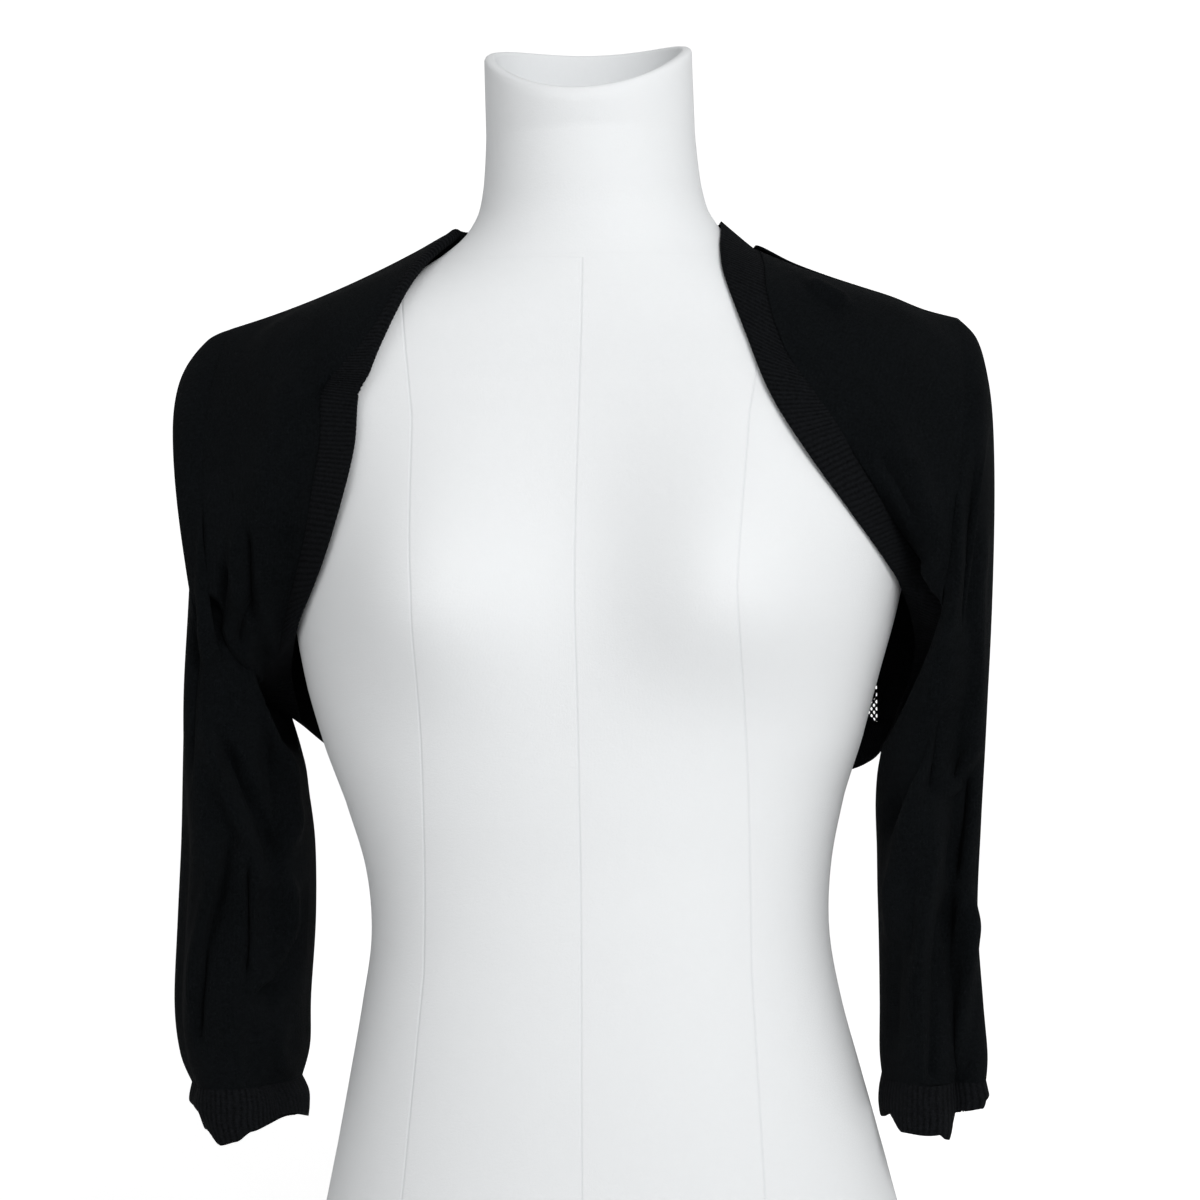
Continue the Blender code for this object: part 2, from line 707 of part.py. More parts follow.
def border_sides(armhole, corner, tree):
    """Side border of the back: round the armhole, then down the side seam."""
    border = []
    for i in range(PANEL_ROWS):
        border.append(panel_side(armhole, 360.0 - 180.0 * i / (PANEL_ROWS - 1), BACK_INSET))
    extra = BACK_ROWS - PANEL_ROWS
    underarm = border[-1]
    for i in range(extra):
        border.append(underarm.lerp(corner, (i + 1) / extra))
    return [push_clear(tree, point, PANEL_CLEARANCE) for point in border]


def make_back(tree, knit, lace):
    shoulder = PANEL_COLUMNS - 1
    top = []
    left_seam = seam_point(BAND_NECK[0], tree)
    right_seam = seam_point(BAND_NECK[-1], tree)
    top.extend(reversed(shoulder_line(left_seam, ring_spline(ARMHOLE_LEFT, 0.0), tree)))
    for i in range(1, NECK_ROWS - 1):
        top.append(seam_point(spline(BAND_NECK, i / (NECK_ROWS - 1)), tree))
    top.extend(shoulder_line(right_seam, ring_spline(ARMHOLE_RIGHT, 0.0), tree))
    places = [j / (BACK_COLUMNS - 1) for j in range(BACK_COLUMNS)]
    bottom = [seam_point(spline(BAND_HEM, place), tree) for place in places]
    left = border_sides(ARMHOLE_LEFT, bottom[0], tree)
    right = border_sides(ARMHOLE_RIGHT, bottom[-1], tree)
    grid = []
    for i in range(BACK_ROWS):
        down = i / (BACK_ROWS - 1)
        line = []
        for j in range(BACK_COLUMNS):
            across = j / (BACK_COLUMNS - 1)
            corners = (
                top[0] * (1 - across) * (1 - down)
                + top[-1] * across * (1 - down)
                + bottom[0] * (1 - across) * down
                + bottom[-1] * across * down
            )
            point = top[j] * (1 - down) + bottom[j] * down - corners
            point = point + left[i] * (1 - across) + right[i] * across
            point.y += BACK_SWELL * math.sin(math.pi * across) * math.sin(math.pi * down ** 0.7)
            line.append(point)
        grid.append(line)
    grid = ease_grid(tree, grid, PANEL_CLEARANCE + 1.0, passes=4)
    low = LACE_COLUMN
    high = BACK_COLUMNS - 1 - LACE_COLUMN

    def in_lace(i, j):
        return i >= LACE_ROW and low <= j < high

    back = Sheet("back", grid, knit, skip=in_lace)
    inset = [list(row[low:high + 1]) for row in grid[LACE_ROW:]]
    panel = Sheet("back_lace", inset, lace)
    panel.normals = [list(row[low:high + 1]) for row in back.normals[LACE_ROW:]]
    for row in panel.grid:
        row[0] = row[0] + (row[1] - row[0]).normalized() * LACE_GAP
        row[-1] = row[-1] + (row[-2] - row[-1]).normalized() * LACE_GAP
    panel.grid[0] = [a + (b - a).normalized() * LACE_GAP for a, b in zip(panel.grid[0], panel.grid[1])]
    return back, panel


def fold_height(folds, turn, height):
    """How far the folds stand out of a sleeve at a turn and a height."""
    total = 0.0
    for top, turn_top, end, turn_end, spread, depth in folds:
        share = (top - height) / (top - end)
        middle = turn_top + (turn_end - turn_top) * share
        away = (turn - middle + 180.0) % 360.0 - 180.0
        start_fade = 1.0 / (1.0 + math.exp(-(top - height) / FOLD_FADE))
        end_fade = 1.0 / (1.0 + math.exp(-(height - end) / FOLD_FADE))
        total += depth * math.exp(-0.5 * (away / spread) ** 2) * start_fade * end_fade
    return total


def ring_point(row, turn, folds):
    """Point of a sleeve ring: turn 0 is the outer line, 90 the front, 180 the inner line."""
    outer_x, outer_z, inner_x, inner_z, centre_y, half_depth, square = row
    angle = math.radians(turn)
    outer = Vector((outer_x, 0.0, outer_z))
    inner = Vector((inner_x, 0.0, inner_z))
    centre = (outer + inner) * 0.5
    arm = (outer - inner) * 0.5
    across = math.copysign(abs(math.cos(angle)) ** (2.0 / square), math.cos(angle))
    deep = math.copysign(abs(math.sin(angle)) ** (2.0 / square), math.sin(angle))
    lift = fold_height(folds, turn, centre.z)
    grow_across = 1.0 + lift / arm.length * abs(math.cos(angle))
    grow_deep = 1.0 + lift / half_depth * abs(math.sin(angle))
    point = centre + arm * across * grow_across
    point.y = centre_y - half_depth * deep * grow_deep
    return point


def make_sleeve(name, table, armhole, folds, material):
    turns = [360.0 * i / SLEEVE_SIDES for i in range(SLEEVE_SIDES)]
    grid = []
    for i in range(SLEEVE_RINGS):
        place = i / (SLEEVE_RINGS - 1)
        row = spline(table, place)
        line = []
        for turn in turns:
            away = (turn - UNDERARM_TURN) / UNDERARM_SPREAD
            under = math.exp(-0.5 * away * away)
            blend = max(0.0, 1.0 - place / (ARMHOLE_BLEND + UNDERARM_BLEND * under))
            blend = blend * blend * (3.0 - 2.0 * blend)
            ease = UNDERARM_EASE * under * max(0.0, 1.0 - place / UNDERARM_REACH)
            point = ring_point(row, turn, folds)
            plain = ring_point(table[0], turn, folds)
            point = point + (ring_spline(armhole, turn) - plain) * blend
            point.x += math.copysign(ease, point.x)
            line.append(point)
        grid.append(line)
    return Sheet(name, grid, material, closed=True)


def make_cuff(name, table, folds, material):
    turns = [360.0 * i / SLEEVE_SIDES for i in range(SLEEVE_SIDES)]
    grid = [[ring_point(row, turn, folds) for turn in turns] for row in table]
    return Sheet(name, grid, material, closed=True)


def border_rows(rows, column):
    return [(i, column) for i in rows]


def border_columns(row, columns):
    return [(row, j) for j in columns]


def sew_side(front, back, sleeve, cuff, band, back_column, back_step):
    """Sew one front to its band, the sleeve, the back and the cuff."""
    rows = range(PANEL_ROWS)
    last = PANEL_COLUMNS - 1
    half = SLEEVE_SIDES // 2
    sew(band, border_rows(rows, 0), (0, 1), front, border_rows(rows, 0), (0, 1), BAND_GAP)
    step = 360.0 / SLEEVE_SIDES
    sewn = [i for i in range(half + 1) if i * step < UNSEWN[0]]
    sew(front, border_rows(sewn, last), (0, -1), sleeve, border_columns(0, sewn), (1, 0))
    sewn = [i for i in range(1, half) if 360.0 - i * step > UNSEWN[1]]
    around = [SLEEVE_SIDES - i for i in sewn]
    sew(back, border_rows(sewn, back_column), (0, back_step), sleeve, border_columns(0, around), (1, 0))
    ring = range(SLEEVE_SIDES)
    sew(sleeve, border_columns(SLEEVE_RINGS - 1, ring), (-1, 0), cuff, border_columns(0, ring), (1, 0))


def build():
    clear_scene()
    materials = {name: make_material(name) for name in MATERIALS}
    knit = materials["black_knit"]
    rib = materials["black_rib"]
    form = build_form(materials["form_cover"])
    tree = form_tree(form)

    neck = make_band("band_neck", BAND_NECK, NECK_ROWS, tree, rib, tucked=True)
    band_left = make_band("band_front_left", BAND_FRONT_LEFT, PANEL_ROWS, tree, rib)
    band_right = make_band("band_front_right", BAND_FRONT_RIGHT, PANEL_ROWS, tree, rib, tucked=True)
    hem = make_band("band_hem", BAND_HEM, BACK_COLUMNS, tree, rib)
    front_left = make_front("front_left", BAND_FRONT_LEFT, ARMHOLE_LEFT, CREASES_LEFT, tree, knit)
    front_right = make_front("front_right", BAND_FRONT_RIGHT, ARMHOLE_RIGHT, CREASES_RIGHT, tree, knit)
    back, lace = make_back(tree, knit, materials["black_lace"])
    sleeve_left = make_sleeve("sleeve_left", SLEEVE_LEFT, ARMHOLE_LEFT, FOLDS_LEFT, knit)
    sleeve_right = make_sleeve("sleeve_right", SLEEVE_RIGHT, ARMHOLE_RIGHT, FOLDS_RIGHT, knit)
    cuff_left = make_cuff("cuff_left", CUFF_LEFT, FOLDS_LEFT, rib)
    cuff_right = make_cuff("cuff_right", CUFF_RIGHT, FOLDS_RIGHT, rib)

    sew_side(front_left, back, sleeve_left, cuff_left, band_left, 0, 1)
    sew_side(front_right, back, sleeve_right, cuff_right, band_right, BACK_COLUMNS - 1, -1)
    shoulder = PANEL_COLUMNS - 1
    last = BACK_COLUMNS - 1
    width = range(PANEL_COLUMNS)
    sew(front_left, border_columns(0, width), (1, 0), back, border_columns(0, reversed(width)), (1, 0))
    right_columns = range(last - shoulder, last + 1)
    sew(front_right, border_columns(0, width), (1, 0), back, border_columns(0, right_columns), (1, 0))
    neck_columns = range(shoulder, last - shoulder + 1)
    sew(neck, border_rows(range(NECK_ROWS), 0), (0, 1), back, border_columns(0, neck_columns), (1, 0))
    bottom = BACK_ROWS - 1
    sides = range(BACK_COLUMNS)
    sew(hem, border_rows(sides, 0), (0, 1), back, border_columns(bottom, sides), (-1, 0))
    lace_columns = range(LACE_COLUMN, BACK_COLUMNS - LACE_COLUMN)
    for j in lace_columns:
        place = j - LACE_COLUMN
        lace.grid[-1][place] = back.grid[bottom][j].copy()
        lace.normals[-1][place] = back.normals[bottom][j].copy()
    lace.grid[-1][0] += (lace.grid[-1][1] - lace.grid[-1][0]).normalized() * LACE_GAP
    lace.grid[-1][-1] += (lace.grid[-1][-2] - lace.grid[-1][-1]).normalized() * LACE_GAP
    # The side seams end in a corner shared by three pieces; open them a little.
    for front in (front_left, front_right):
        trim(front, PANEL_ROWS - 1, -1)

    sheets = (neck, band_left, band_right, hem, front_left, front_right, back, lace,
              sleeve_left, sleeve_right, cuff_left, cuff_right)
    for sheet in sheets:
        add_wall(sheet)


build()
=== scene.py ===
import math

import bmesh
import bpy
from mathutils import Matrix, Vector
from mathutils.bvhtree import BVHTree


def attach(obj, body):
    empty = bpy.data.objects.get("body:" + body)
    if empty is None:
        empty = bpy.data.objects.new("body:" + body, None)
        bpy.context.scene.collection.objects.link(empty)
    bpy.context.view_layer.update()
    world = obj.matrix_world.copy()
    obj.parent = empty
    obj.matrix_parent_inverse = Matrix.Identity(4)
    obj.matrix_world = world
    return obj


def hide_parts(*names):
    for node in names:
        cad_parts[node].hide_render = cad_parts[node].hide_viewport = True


# Black knitted shrug on a white limbless dress form.
# Tables are in millimetres, wearer facing -Y, wearer's left on +X.
mm = 0.001
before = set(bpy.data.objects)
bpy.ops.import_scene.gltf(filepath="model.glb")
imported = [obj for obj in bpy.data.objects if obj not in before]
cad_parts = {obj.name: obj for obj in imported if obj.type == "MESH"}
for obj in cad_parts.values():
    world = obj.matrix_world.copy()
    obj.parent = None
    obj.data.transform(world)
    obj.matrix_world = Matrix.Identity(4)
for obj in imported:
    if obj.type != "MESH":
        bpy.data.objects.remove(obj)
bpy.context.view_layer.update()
print("frame loaded")


def spline(rows, place):
    # smooth curve through the rows of a table, place runs from 0 to 1
    last = len(rows) - 1
    spot = min(max(place, 0.0), 1.0) * last
    index = min(int(spot), last - 1)
    t = spot - index
    four = (rows[max(index - 1, 0)], rows[index], rows[index + 1], rows[min(index + 2, last)])
    return [curveValue(a, b, c, d, t) for a, b, c, d in zip(*four)]


def curveValue(a, b, c, d, t):
    return 0.5 * (2.0 * b + (c - a) * t + (2.0 * a - 5.0 * b + 4.0 * c - d) * t * t
                  + (3.0 * b - a - 3.0 * c + d) * t * t * t)


def ringSpline(rows, turn):
    # the same for a closed ring whose first column is the turn in degrees
    count = len(rows)
    turn = turn % 360.0
    index = max(i for i in range(count) if rows[i][0] <= turn)
    start = rows[index]
    end = rows[(index + 1) % count]
    before = rows[(index - 1) % count]
    after = rows[(index + 2) % count]
    endTurn = end[0] if end[0] > start[0] else 360.0
    t = (turn - start[0]) / (endTurn - start[0])
    return Vector([curveValue(a, b, c, d, t)
                   for a, b, c, d in zip(before[1:], start[1:], end[1:], after[1:])])


def softStep(value, low, high):
    t = min(max((value - low) / (high - low), 0.0), 1.0)
    return t * t * (3.0 - 2.0 * t)


def smoothPatch(control, rows, columns):
    # fine grid of points through a coarse one
    across = []
    for line in control:
        across.append([Vector(spline(line, j / (columns - 1))) for j in range(columns)])
    fine = []
    for i in range(rows):
        place = i / (rows - 1)
        last = len(across) - 1
        spot = min(place * last, last - 1e-6)
        index = int(spot)
        t = spot - index
        near = (max(index - 1, 0), index, min(index + 1, last), min(index + 2, last))
        four = [across[k] for k in near]
        line = []
        for a, b, c, d in zip(*four):
            line.append(Vector([curveValue(a[k], b[k], c[k], d[k], t) for k in range(3)]))
        fine.append(line)
    return fine


def gridMesh(name, grid, material, uvs, closed=False, capEnds=False, outward=None):
    # a bmesh grid laid on the points; closed joins its last column to its first
    rows = len(grid)
    columns = len(grid[0])
    mesh = bmesh.new()
    uvLayer = mesh.loops.layers.uv.new("cloth")
    wide = columns + 1 if closed else columns
    bmesh.ops.create_grid(mesh, x_segments=wide - 1, y_segments=rows - 1, size=1.0)
    mesh.verts.ensure_lookup_table()
    for vert in mesh.verts:
        i = vert.index // wide
        j = vert.index % wide
        vert.co = grid[i][j % columns] * mm
    for face in mesh.faces:
        for loop in face.loops:
            i = loop.vert.index // wide
            j = loop.vert.index % wide
            loop[uvLayer].uv = uvs(i / (rows - 1), j / (wide - 1), grid[i][j % columns])
    if closed:
        pairs = {}
        for i in range(rows):
            pairs[mesh.verts[i * wide + wide - 1]] = mesh.verts[i * wide]
        bmesh.ops.weld_verts(mesh, targetmap=pairs)
    if capEnds:
        ends = [edge for edge in mesh.edges if edge.is_boundary]
        bmesh.ops.holes_fill(mesh, edges=ends, sides=0)
    bmesh.ops.recalc_face_normals(mesh, faces=mesh.faces)
    if outward:
        # the middle face has to look away from the wearer
        mesh.faces.ensure_lookup_table()
        face = mesh.faces[len(mesh.faces) // 2]
        if face.normal.dot(outward) < 0.0:
            bmesh.ops.reverse_faces(mesh, faces=mesh.faces)
    data = bpy.data.meshes.new(name)
    mesh.to_mesh(data)
    mesh.free()
    data.materials.append(material)
    data.polygons.foreach_set("use_smooth", [True] * len(data.polygons))
    piece = bpy.data.objects.new(name, data)
    bpy.context.scene.collection.objects.link(piece)
    return piece


def gridNormals(grid, closed=False):
    rows = len(grid)
    columns = len(grid[0])
    normals = []
    for i in range(rows):
        line = []
        for j in range(columns):
            above = grid[max(i - 1, 0)][j]
            below = grid[min(i + 1, rows - 1)][j]
            if closed:
                left = grid[i][(j - 1) % columns]
                right = grid[i][(j + 1) % columns]
            else:
                left = grid[i][max(j - 1, 0)]
                right = grid[i][min(j + 1, columns - 1)]
            line.append((below - above).cross(right - left).normalized())
        normals.append(line)
    return normals


def lineDistance(x, z, line):
    # distance in the front view from a point to a crease line, and the share along it
    best = 1e9
    where = 0.0
    steps = len(line) - 1
    for k in range(steps):
        ax, az = line[k]
        bx, bz = line[k + 1]
        dx = bx - ax
        dz = bz - az
        t = min(max(((x - ax) * dx + (z - az) * dz) / (dx * dx + dz * dz), 0.0), 1.0)
        gap = math.hypot(x - ax - dx * t, z - az - dz * t)
        if gap < best:
            best = gap
            where = (k + t) / steps
    return best, where


def creaseHeight(point, creases):
    total = 0.0
    for crease in creases:
        line = crease["line"]
        reach = crease["width"] * 2.6
        if not crease["low"] - reach < point.z < crease["high"] + reach:
            continue
        gap, where = lineDistance(point.x, point.z, line)
        if gap > reach:
            continue
        fade = softStep(where, -0.02, crease["fade"]) * (1.0 - softStep(where, 1.0 - crease["fade"], 1.02))
        total += crease["height"] * math.exp(-(gap / crease["width"]) ** 2) * fade
    return total


creaseTurn = (0.05, 0.45)    # creases fade out where the cloth turns side-on
creaseDepth = 2.1       # more than 1 deepens all the fine creases


def readCreases(rows):
    # a crease: its line in (x, z), its width, how far it stands out, and the fade at its ends
    creases = []
    for line, width, height, fade in rows:
        height = height * creaseDepth
        heights = [point[1] for point in line]
        creases.append({"line": line, "width": width, "height": height, "fade": fade,
                        "low": min(heights), "high": max(heights)})
    return creases


def newGroup(name, inputs, outputs):
    group = bpy.data.node_groups.new(name, "ShaderNodeTree")
    for label, kind, value in inputs:
        socket = group.interface.new_socket(name=label, in_out="INPUT", socket_type=kind)
        if value is not None:
            socket.default_value = value
    for label, kind in outputs:
        group.interface.new_socket(name=label, in_out="OUTPUT", socket_type=kind)
    return group


class NodeBench:
    # short calls for placing and wiring shader nodes
    def __init__(self, tree):
        self.tree = tree

    def add(self, kind, **settings):
        node = self.tree.nodes.new(kind)
        for key, value in settings.items():
            setattr(node, key, value)
        return node

    def wire(self, source, target):
        self.tree.links.new(source, target)

    def math(self, operation, first, second=None, third=None):
        node = self.add("ShaderNodeMath", operation=operation)
        for socket, value in zip(node.inputs, (first, second, third)):
            if value is None:
                continue
            if isinstance(value, (int, float)):
                socket.default_value = value
            else:
                self.wire(value, socket)
        return node.outputs[0]

    def noise(self, vector, scale, detail=3.0, roughness=0.55):
        node = self.add("ShaderNodeTexNoise")
        self.wire(vector, node.inputs["Vector"])
        node.inputs["Scale"].default_value = scale
        node.inputs["Detail"].default_value = detail
        node.inputs["Roughness"].default_value = roughness
        return node.outputs["Fac"]


def knitGroup():
    # plain knit: columns of small V stitches on a piece's own UV, in metres
    group = newGroup("plainKnit",
                     [("Vector", "NodeSocketVector", None), ("Place", "NodeSocketVector", None),
                      ("Wales", "NodeSocketFloat", 620.0), ("Courses", "NodeSocketFloat", 760.0)],
                     [("Height", "NodeSocketFloat"), ("Shade", "NodeSocketFloat")])
    bench = NodeBench(group)
    source = bench.add("NodeGroupInput")
    result = bench.add("NodeGroupOutput")
    split = bench.add("ShaderNodeSeparateXYZ")
    bench.wire(source.outputs["Vector"], split.inputs[0])
    wander = bench.noise(source.outputs["Place"], 55.0, 2.0)
    shift = bench.math("MULTIPLY", wander, 0.9)
    wale = bench.math("MULTIPLY_ADD", split.outputs[0], source.outputs["Wales"], shift)
    share = bench.math("FRACT", wale)
    side = bench.math("ABSOLUTE", bench.math("SUBTRACT", share, 0.5))
    ridge = bench.math("SUBTRACT", 1.0, bench.math("POWER", bench.math("MULTIPLY", side, 2.0), 2.4))
    lean = bench.math("MULTIPLY", side, 1.4)
    course = bench.math("MULTIPLY_ADD", split.outputs[1], source.outputs["Courses"], lean)
    loops = bench.math("SINE", bench.math("MULTIPLY", course, 2.0 * math.pi))
    stitch = bench.math("MULTIPLY", ridge, bench.math("MULTIPLY_ADD", loops, 0.28, 0.72))
    fuzz = bench.noise(source.outputs["Place"], 720.0, 5.0, 0.8)
    fuzz = bench.math("SUBTRACT", bench.math("MULTIPLY", fuzz, 4.4), 1.7)
    patchy = bench.noise(source.outputs["Place"], 24.0, 3.0)
    height = bench.math("MULTIPLY_ADD", stitch, 0.45, fuzz)
    bench.wire(height, result.inputs["Height"])
    # Shade: painted shade in the stitch hollows and a painted highlight on the stitch ridges, over random
    # fuzz and patchy yarn tone
    tone = bench.math("MULTIPLY_ADD", fuzz, 0.5, bench.math("MULTIPLY", patchy, 0.5))
    bench.wire(bench.math("MULTIPLY_ADD", stitch, 0.14, tone), result.inputs["Shade"])
    return group


def ribGroup():
    # rib: even ridges across the band, each a column of stitches
    group = newGroup("bandRib",
                     [("Vector", "NodeSocketVector", None), ("Place", "NodeSocketVector", None),
                      ("Ribs", "NodeSocketFloat", 400.0)],
                     [("Height", "NodeSocketFloat"), ("Shade", "NodeSocketFloat")])
    bench = NodeBench(group)
    source = bench.add("NodeGroupInput")
    result = bench.add("NodeGroupOutput")
    split = bench.add("ShaderNodeSeparateXYZ")
    bench.wire(source.outputs["Vector"], split.inputs[0])
    wander = bench.noise(source.outputs["Place"], 70.0, 2.0)
    shift = bench.math("MULTIPLY", wander, 0.5)
    along = bench.math("MULTIPLY_ADD", split.outputs[0], source.outputs["Ribs"], shift)
    side = bench.math("ABSOLUTE", bench.math("SUBTRACT", bench.math("FRACT", along), 0.5))
    ridge = bench.math("SUBTRACT", 1.0, bench.math("POWER", bench.math("MULTIPLY", side, 2.0), 1.6))
    loops = bench.math("SINE", bench.math("MULTIPLY", split.outputs[1], 2.0 * math.pi * 800.0))
    stitch = bench.math("MULTIPLY", ridge, bench.math("MULTIPLY_ADD", loops, 0.12, 0.88))
    fuzz = bench.noise(source.outputs["Place"], 720.0, 5.0, 0.8)
    fuzz = bench.math("SUBTRACT", bench.math("MULTIPLY", fuzz, 4.4), 1.7)
    bench.wire(bench.math("MULTIPLY_ADD", fuzz, 0.45, stitch), result.inputs["Height"])
    # Shade: painted shade between the ribs and a painted highlight on them, over random fuzz tone
    shade = bench.math("MULTIPLY_ADD", stitch, 0.5, bench.math("MULTIPLY", fuzz, 0.5))
    bench.wire(shade, result.inputs["Shade"])
    return group


def laceGroup():
    # openwork: a net of diamond eyelets with solid leaves between them
    group = newGroup("laceNet", [("Vector", "NodeSocketVector", None), ("Cells", "NodeSocketFloat", 160.0),
                                 ("Leaves", "NodeSocketFloat", 34.0), ("Border", "NodeSocketFloat", 0.160)],
                     [("Cover", "NodeSocketFloat")])
    bench = NodeBench(group)
    source = bench.add("NodeGroupInput")
    result = bench.add("NodeGroupOutput")
    split = bench.add("ShaderNodeSeparateXYZ")
    bench.wire(source.outputs["Vector"], split.inputs[0])

    def wave(scale, sign):
        lean = bench.math("MULTIPLY_ADD", split.outputs[1], sign * 0.8, split.outputs[0])
        turns = bench.math("MULTIPLY", bench.math("MULTIPLY", lean, scale), 2.0 * math.pi)
        return bench.math("SINE", turns)

    def net(label):
        scale = source.outputs[label]
        return bench.math("MULTIPLY", wave(scale, 1.0), wave(scale, -1.0))

    eyelets = net("Cells")
    leaves = net("Leaves")
    closed = bench.math("GREATER_THAN", leaves, 0.30)
    yarn = bench.math("LESS_THAN", bench.math("ABSOLUTE", eyelets), 0.42)
    border = bench.math("GREATER_THAN", bench.math("ABSOLUTE", split.outputs[0]), source.outputs["Border"])
    cover = bench.math("MAXIMUM", bench.math("MAXIMUM", closed, yarn), border)
    bench.wire(cover, result.inputs["Cover"])
    return group


knitStitch = knitGroup()
ribStitch = ribGroup()
laceNet = laceGroup()

clothLook = {
    "hollowShade": (0.0006, 0.0009, 0.0011, 1.0),      # painted shade: yarn in the stitch hollows drawn darker
    "light": (0.0058, 0.0072, 0.0084, 1.0),     # painted highlight: yarn on the stitch ridges drawn lighter
    # painted shade in the rib hollows and a painted highlight on the rib ridges
    "bandHollowShade": (0.0008, 0.0010, 0.0012, 1.0),
    "bandRidgeLight": (0.0082, 0.0090, 0.0104, 1.0),
    "roughness": 0.90,
    "sheen": 0.008,
    "sheenTint": (0.62, 0.66, 0.72, 1.0),
    "stitchBump": 0.00055,
    "ribBump": 0.00042,
}


def clothMaterial(name, group, hollowShade, light, bump, extra):
    material = bpy.data.materials.new(name)
    material.use_nodes = True
    tree = material.node_tree
    bench = NodeBench(tree)
    shader = tree.nodes["Principled BSDF"]
    place = bench.add("ShaderNodeTexCoord")
    stitch = bench.add("ShaderNodeGroup", node_tree=group)
    bench.wire(place.outputs["UV"], stitch.inputs["Vector"])
    bench.wire(place.outputs["Object"], stitch.inputs["Place"])
    for label, value in extra.items():
        stitch.inputs[label].default_value = value
    # the stitch pattern mixes painted shade into the hollows and a painted highlight onto the ridges
    tint = bench.add("ShaderNodeMix", data_type="RGBA")
    tint.inputs["A"].default_value = hollowShade
    tint.inputs["B"].default_value = light
    bench.wire(stitch.outputs["Shade"], tint.inputs["Factor"])
    bench.wire(tint.outputs["Result"], shader.inputs["Base Color"])
    relief = bench.add("ShaderNodeBump")
    relief.inputs["Strength"].default_value = 0.8
    relief.inputs["Distance"].default_value = bump
    bench.wire(stitch.outputs["Height"], relief.inputs["Height"])
    bench.wire(relief.outputs["Normal"], shader.inputs["Normal"])
    rough = bench.math("MULTIPLY_ADD", stitch.outputs["Shade"], -0.10, clothLook["roughness"] + 0.05)
    bench.wire(rough, shader.inputs["Roughness"])
    shader.inputs["Specular IOR Level"].default_value = 0.04
    shader.inputs["Sheen Weight"].default_value = clothLook["sheen"]
    shader.inputs["Sheen Roughness"].default_value = 0.45
    shader.inputs["Sheen Tint"].default_value = clothLook["sheenTint"]
    return material


knitCloth = clothMaterial("blackKnit", knitStitch, clothLook["hollowShade"], clothLook["light"],
                          clothLook["stitchBump"], {"Wales": 620.0, "Courses": 760.0})
ribCloth = clothMaterial("blackRib", ribStitch, clothLook["bandHollowShade"], clothLook["bandRidgeLight"],
                         clothLook["ribBump"], {"Ribs": 400.0})
laceYarn = clothMaterial("blackLaceYarn", knitStitch, clothLook["hollowShade"], clothLook["light"],
                         clothLook["stitchBump"], {"Wales": 1200.0, "Courses": 1400.0})


def openHoles(material):
    tree = material.node_tree
    bench = NodeBench(tree)
    place = bench.add("ShaderNodeTexCoord")
    net = bench.add("ShaderNodeGroup", node_tree=laceNet)
    bench.wire(place.outputs["UV"], net.inputs["Vector"])
    bench.wire(net.outputs["Cover"], tree.nodes["Principled BSDF"].inputs["Alpha"])


openHoles(laceYarn)


formLook = {
    "jersey": (0.80, 0.815, 0.825, 1.0),
    "jerseyShade": (0.74, 0.755, 0.77, 1.0),
    "threads": 1500.0,            # threads to the metre
    "threadBump": 0.00010,
    "seamWidth": 0.9,             # half width of a panel seam, mm
}


def jerseyMaterial():
    material = bpy.data.materials.new("whiteJersey")
    material.use_nodes = True
    tree = material.node_tree
    bench = NodeBench(tree)
    shader = tree.nodes["Principled BSDF"]
    place = bench.add("ShaderNodeTexCoord")
    weave = bench.add("ShaderNodeGroup", node_tree=knitStitch)
    bench.wire(place.outputs["UV"], weave.inputs["Vector"])
    bench.wire(place.outputs["Object"], weave.inputs["Place"])
    weave.inputs["Wales"].default_value = formLook["threads"]
    weave.inputs["Courses"].default_value = formLook["threads"]
    seams = bench.add("ShaderNodeAttribute", attribute_name="seamGaps")
    parts = bench.add("ShaderNodeSeparateXYZ")
    bench.wire(seams.outputs["Vector"], parts.inputs[0])
    near = None
    for k in range(3):
        gap = bench.math("ABSOLUTE", parts.outputs[k])
        near = gap if near is None else bench.math("MINIMUM", near, gap)
    seam = bench.math("DIVIDE", near, formLook["seamWidth"])
    seam = bench.math("SUBTRACT", 1.0, bench.math("MINIMUM", seam, 1.0))
    tint = bench.add("ShaderNodeMix", data_type="RGBA")
    tint.inputs["A"].default_value = formLook["jersey"]
    tint.inputs["B"].default_value = formLook["jerseyShade"]
    tone = bench.math("MULTIPLY_ADD", seam, 0.9, bench.math("MULTIPLY", weave.outputs["Shade"], 0.12))
    bench.wire(tone, tint.inputs["Factor"])
    bench.wire(tint.outputs["Result"], shader.inputs["Base Color"])
    height = bench.math("MULTIPLY_ADD", seam, -5.0, weave.outputs["Height"])
    relief = bench.add("ShaderNodeBump")
    relief.inputs["Strength"].default_value = 0.5
    relief.inputs["Distance"].default_value = formLook["threadBump"]
    bench.wire(height, relief.inputs["Height"])
    bench.wire(relief.outputs["Normal"], shader.inputs["Normal"])
    rough = bench.math("MULTIPLY_ADD", weave.outputs["Shade"], -0.06, 0.9)
    bench.wire(rough, shader.inputs["Roughness"])
    shader.inputs["Specular IOR Level"].default_value = 0.25
    shader.inputs["Sheen Weight"].default_value = 0.05
    return material


whiteJersey = jerseyMaterial()
print("materials made")


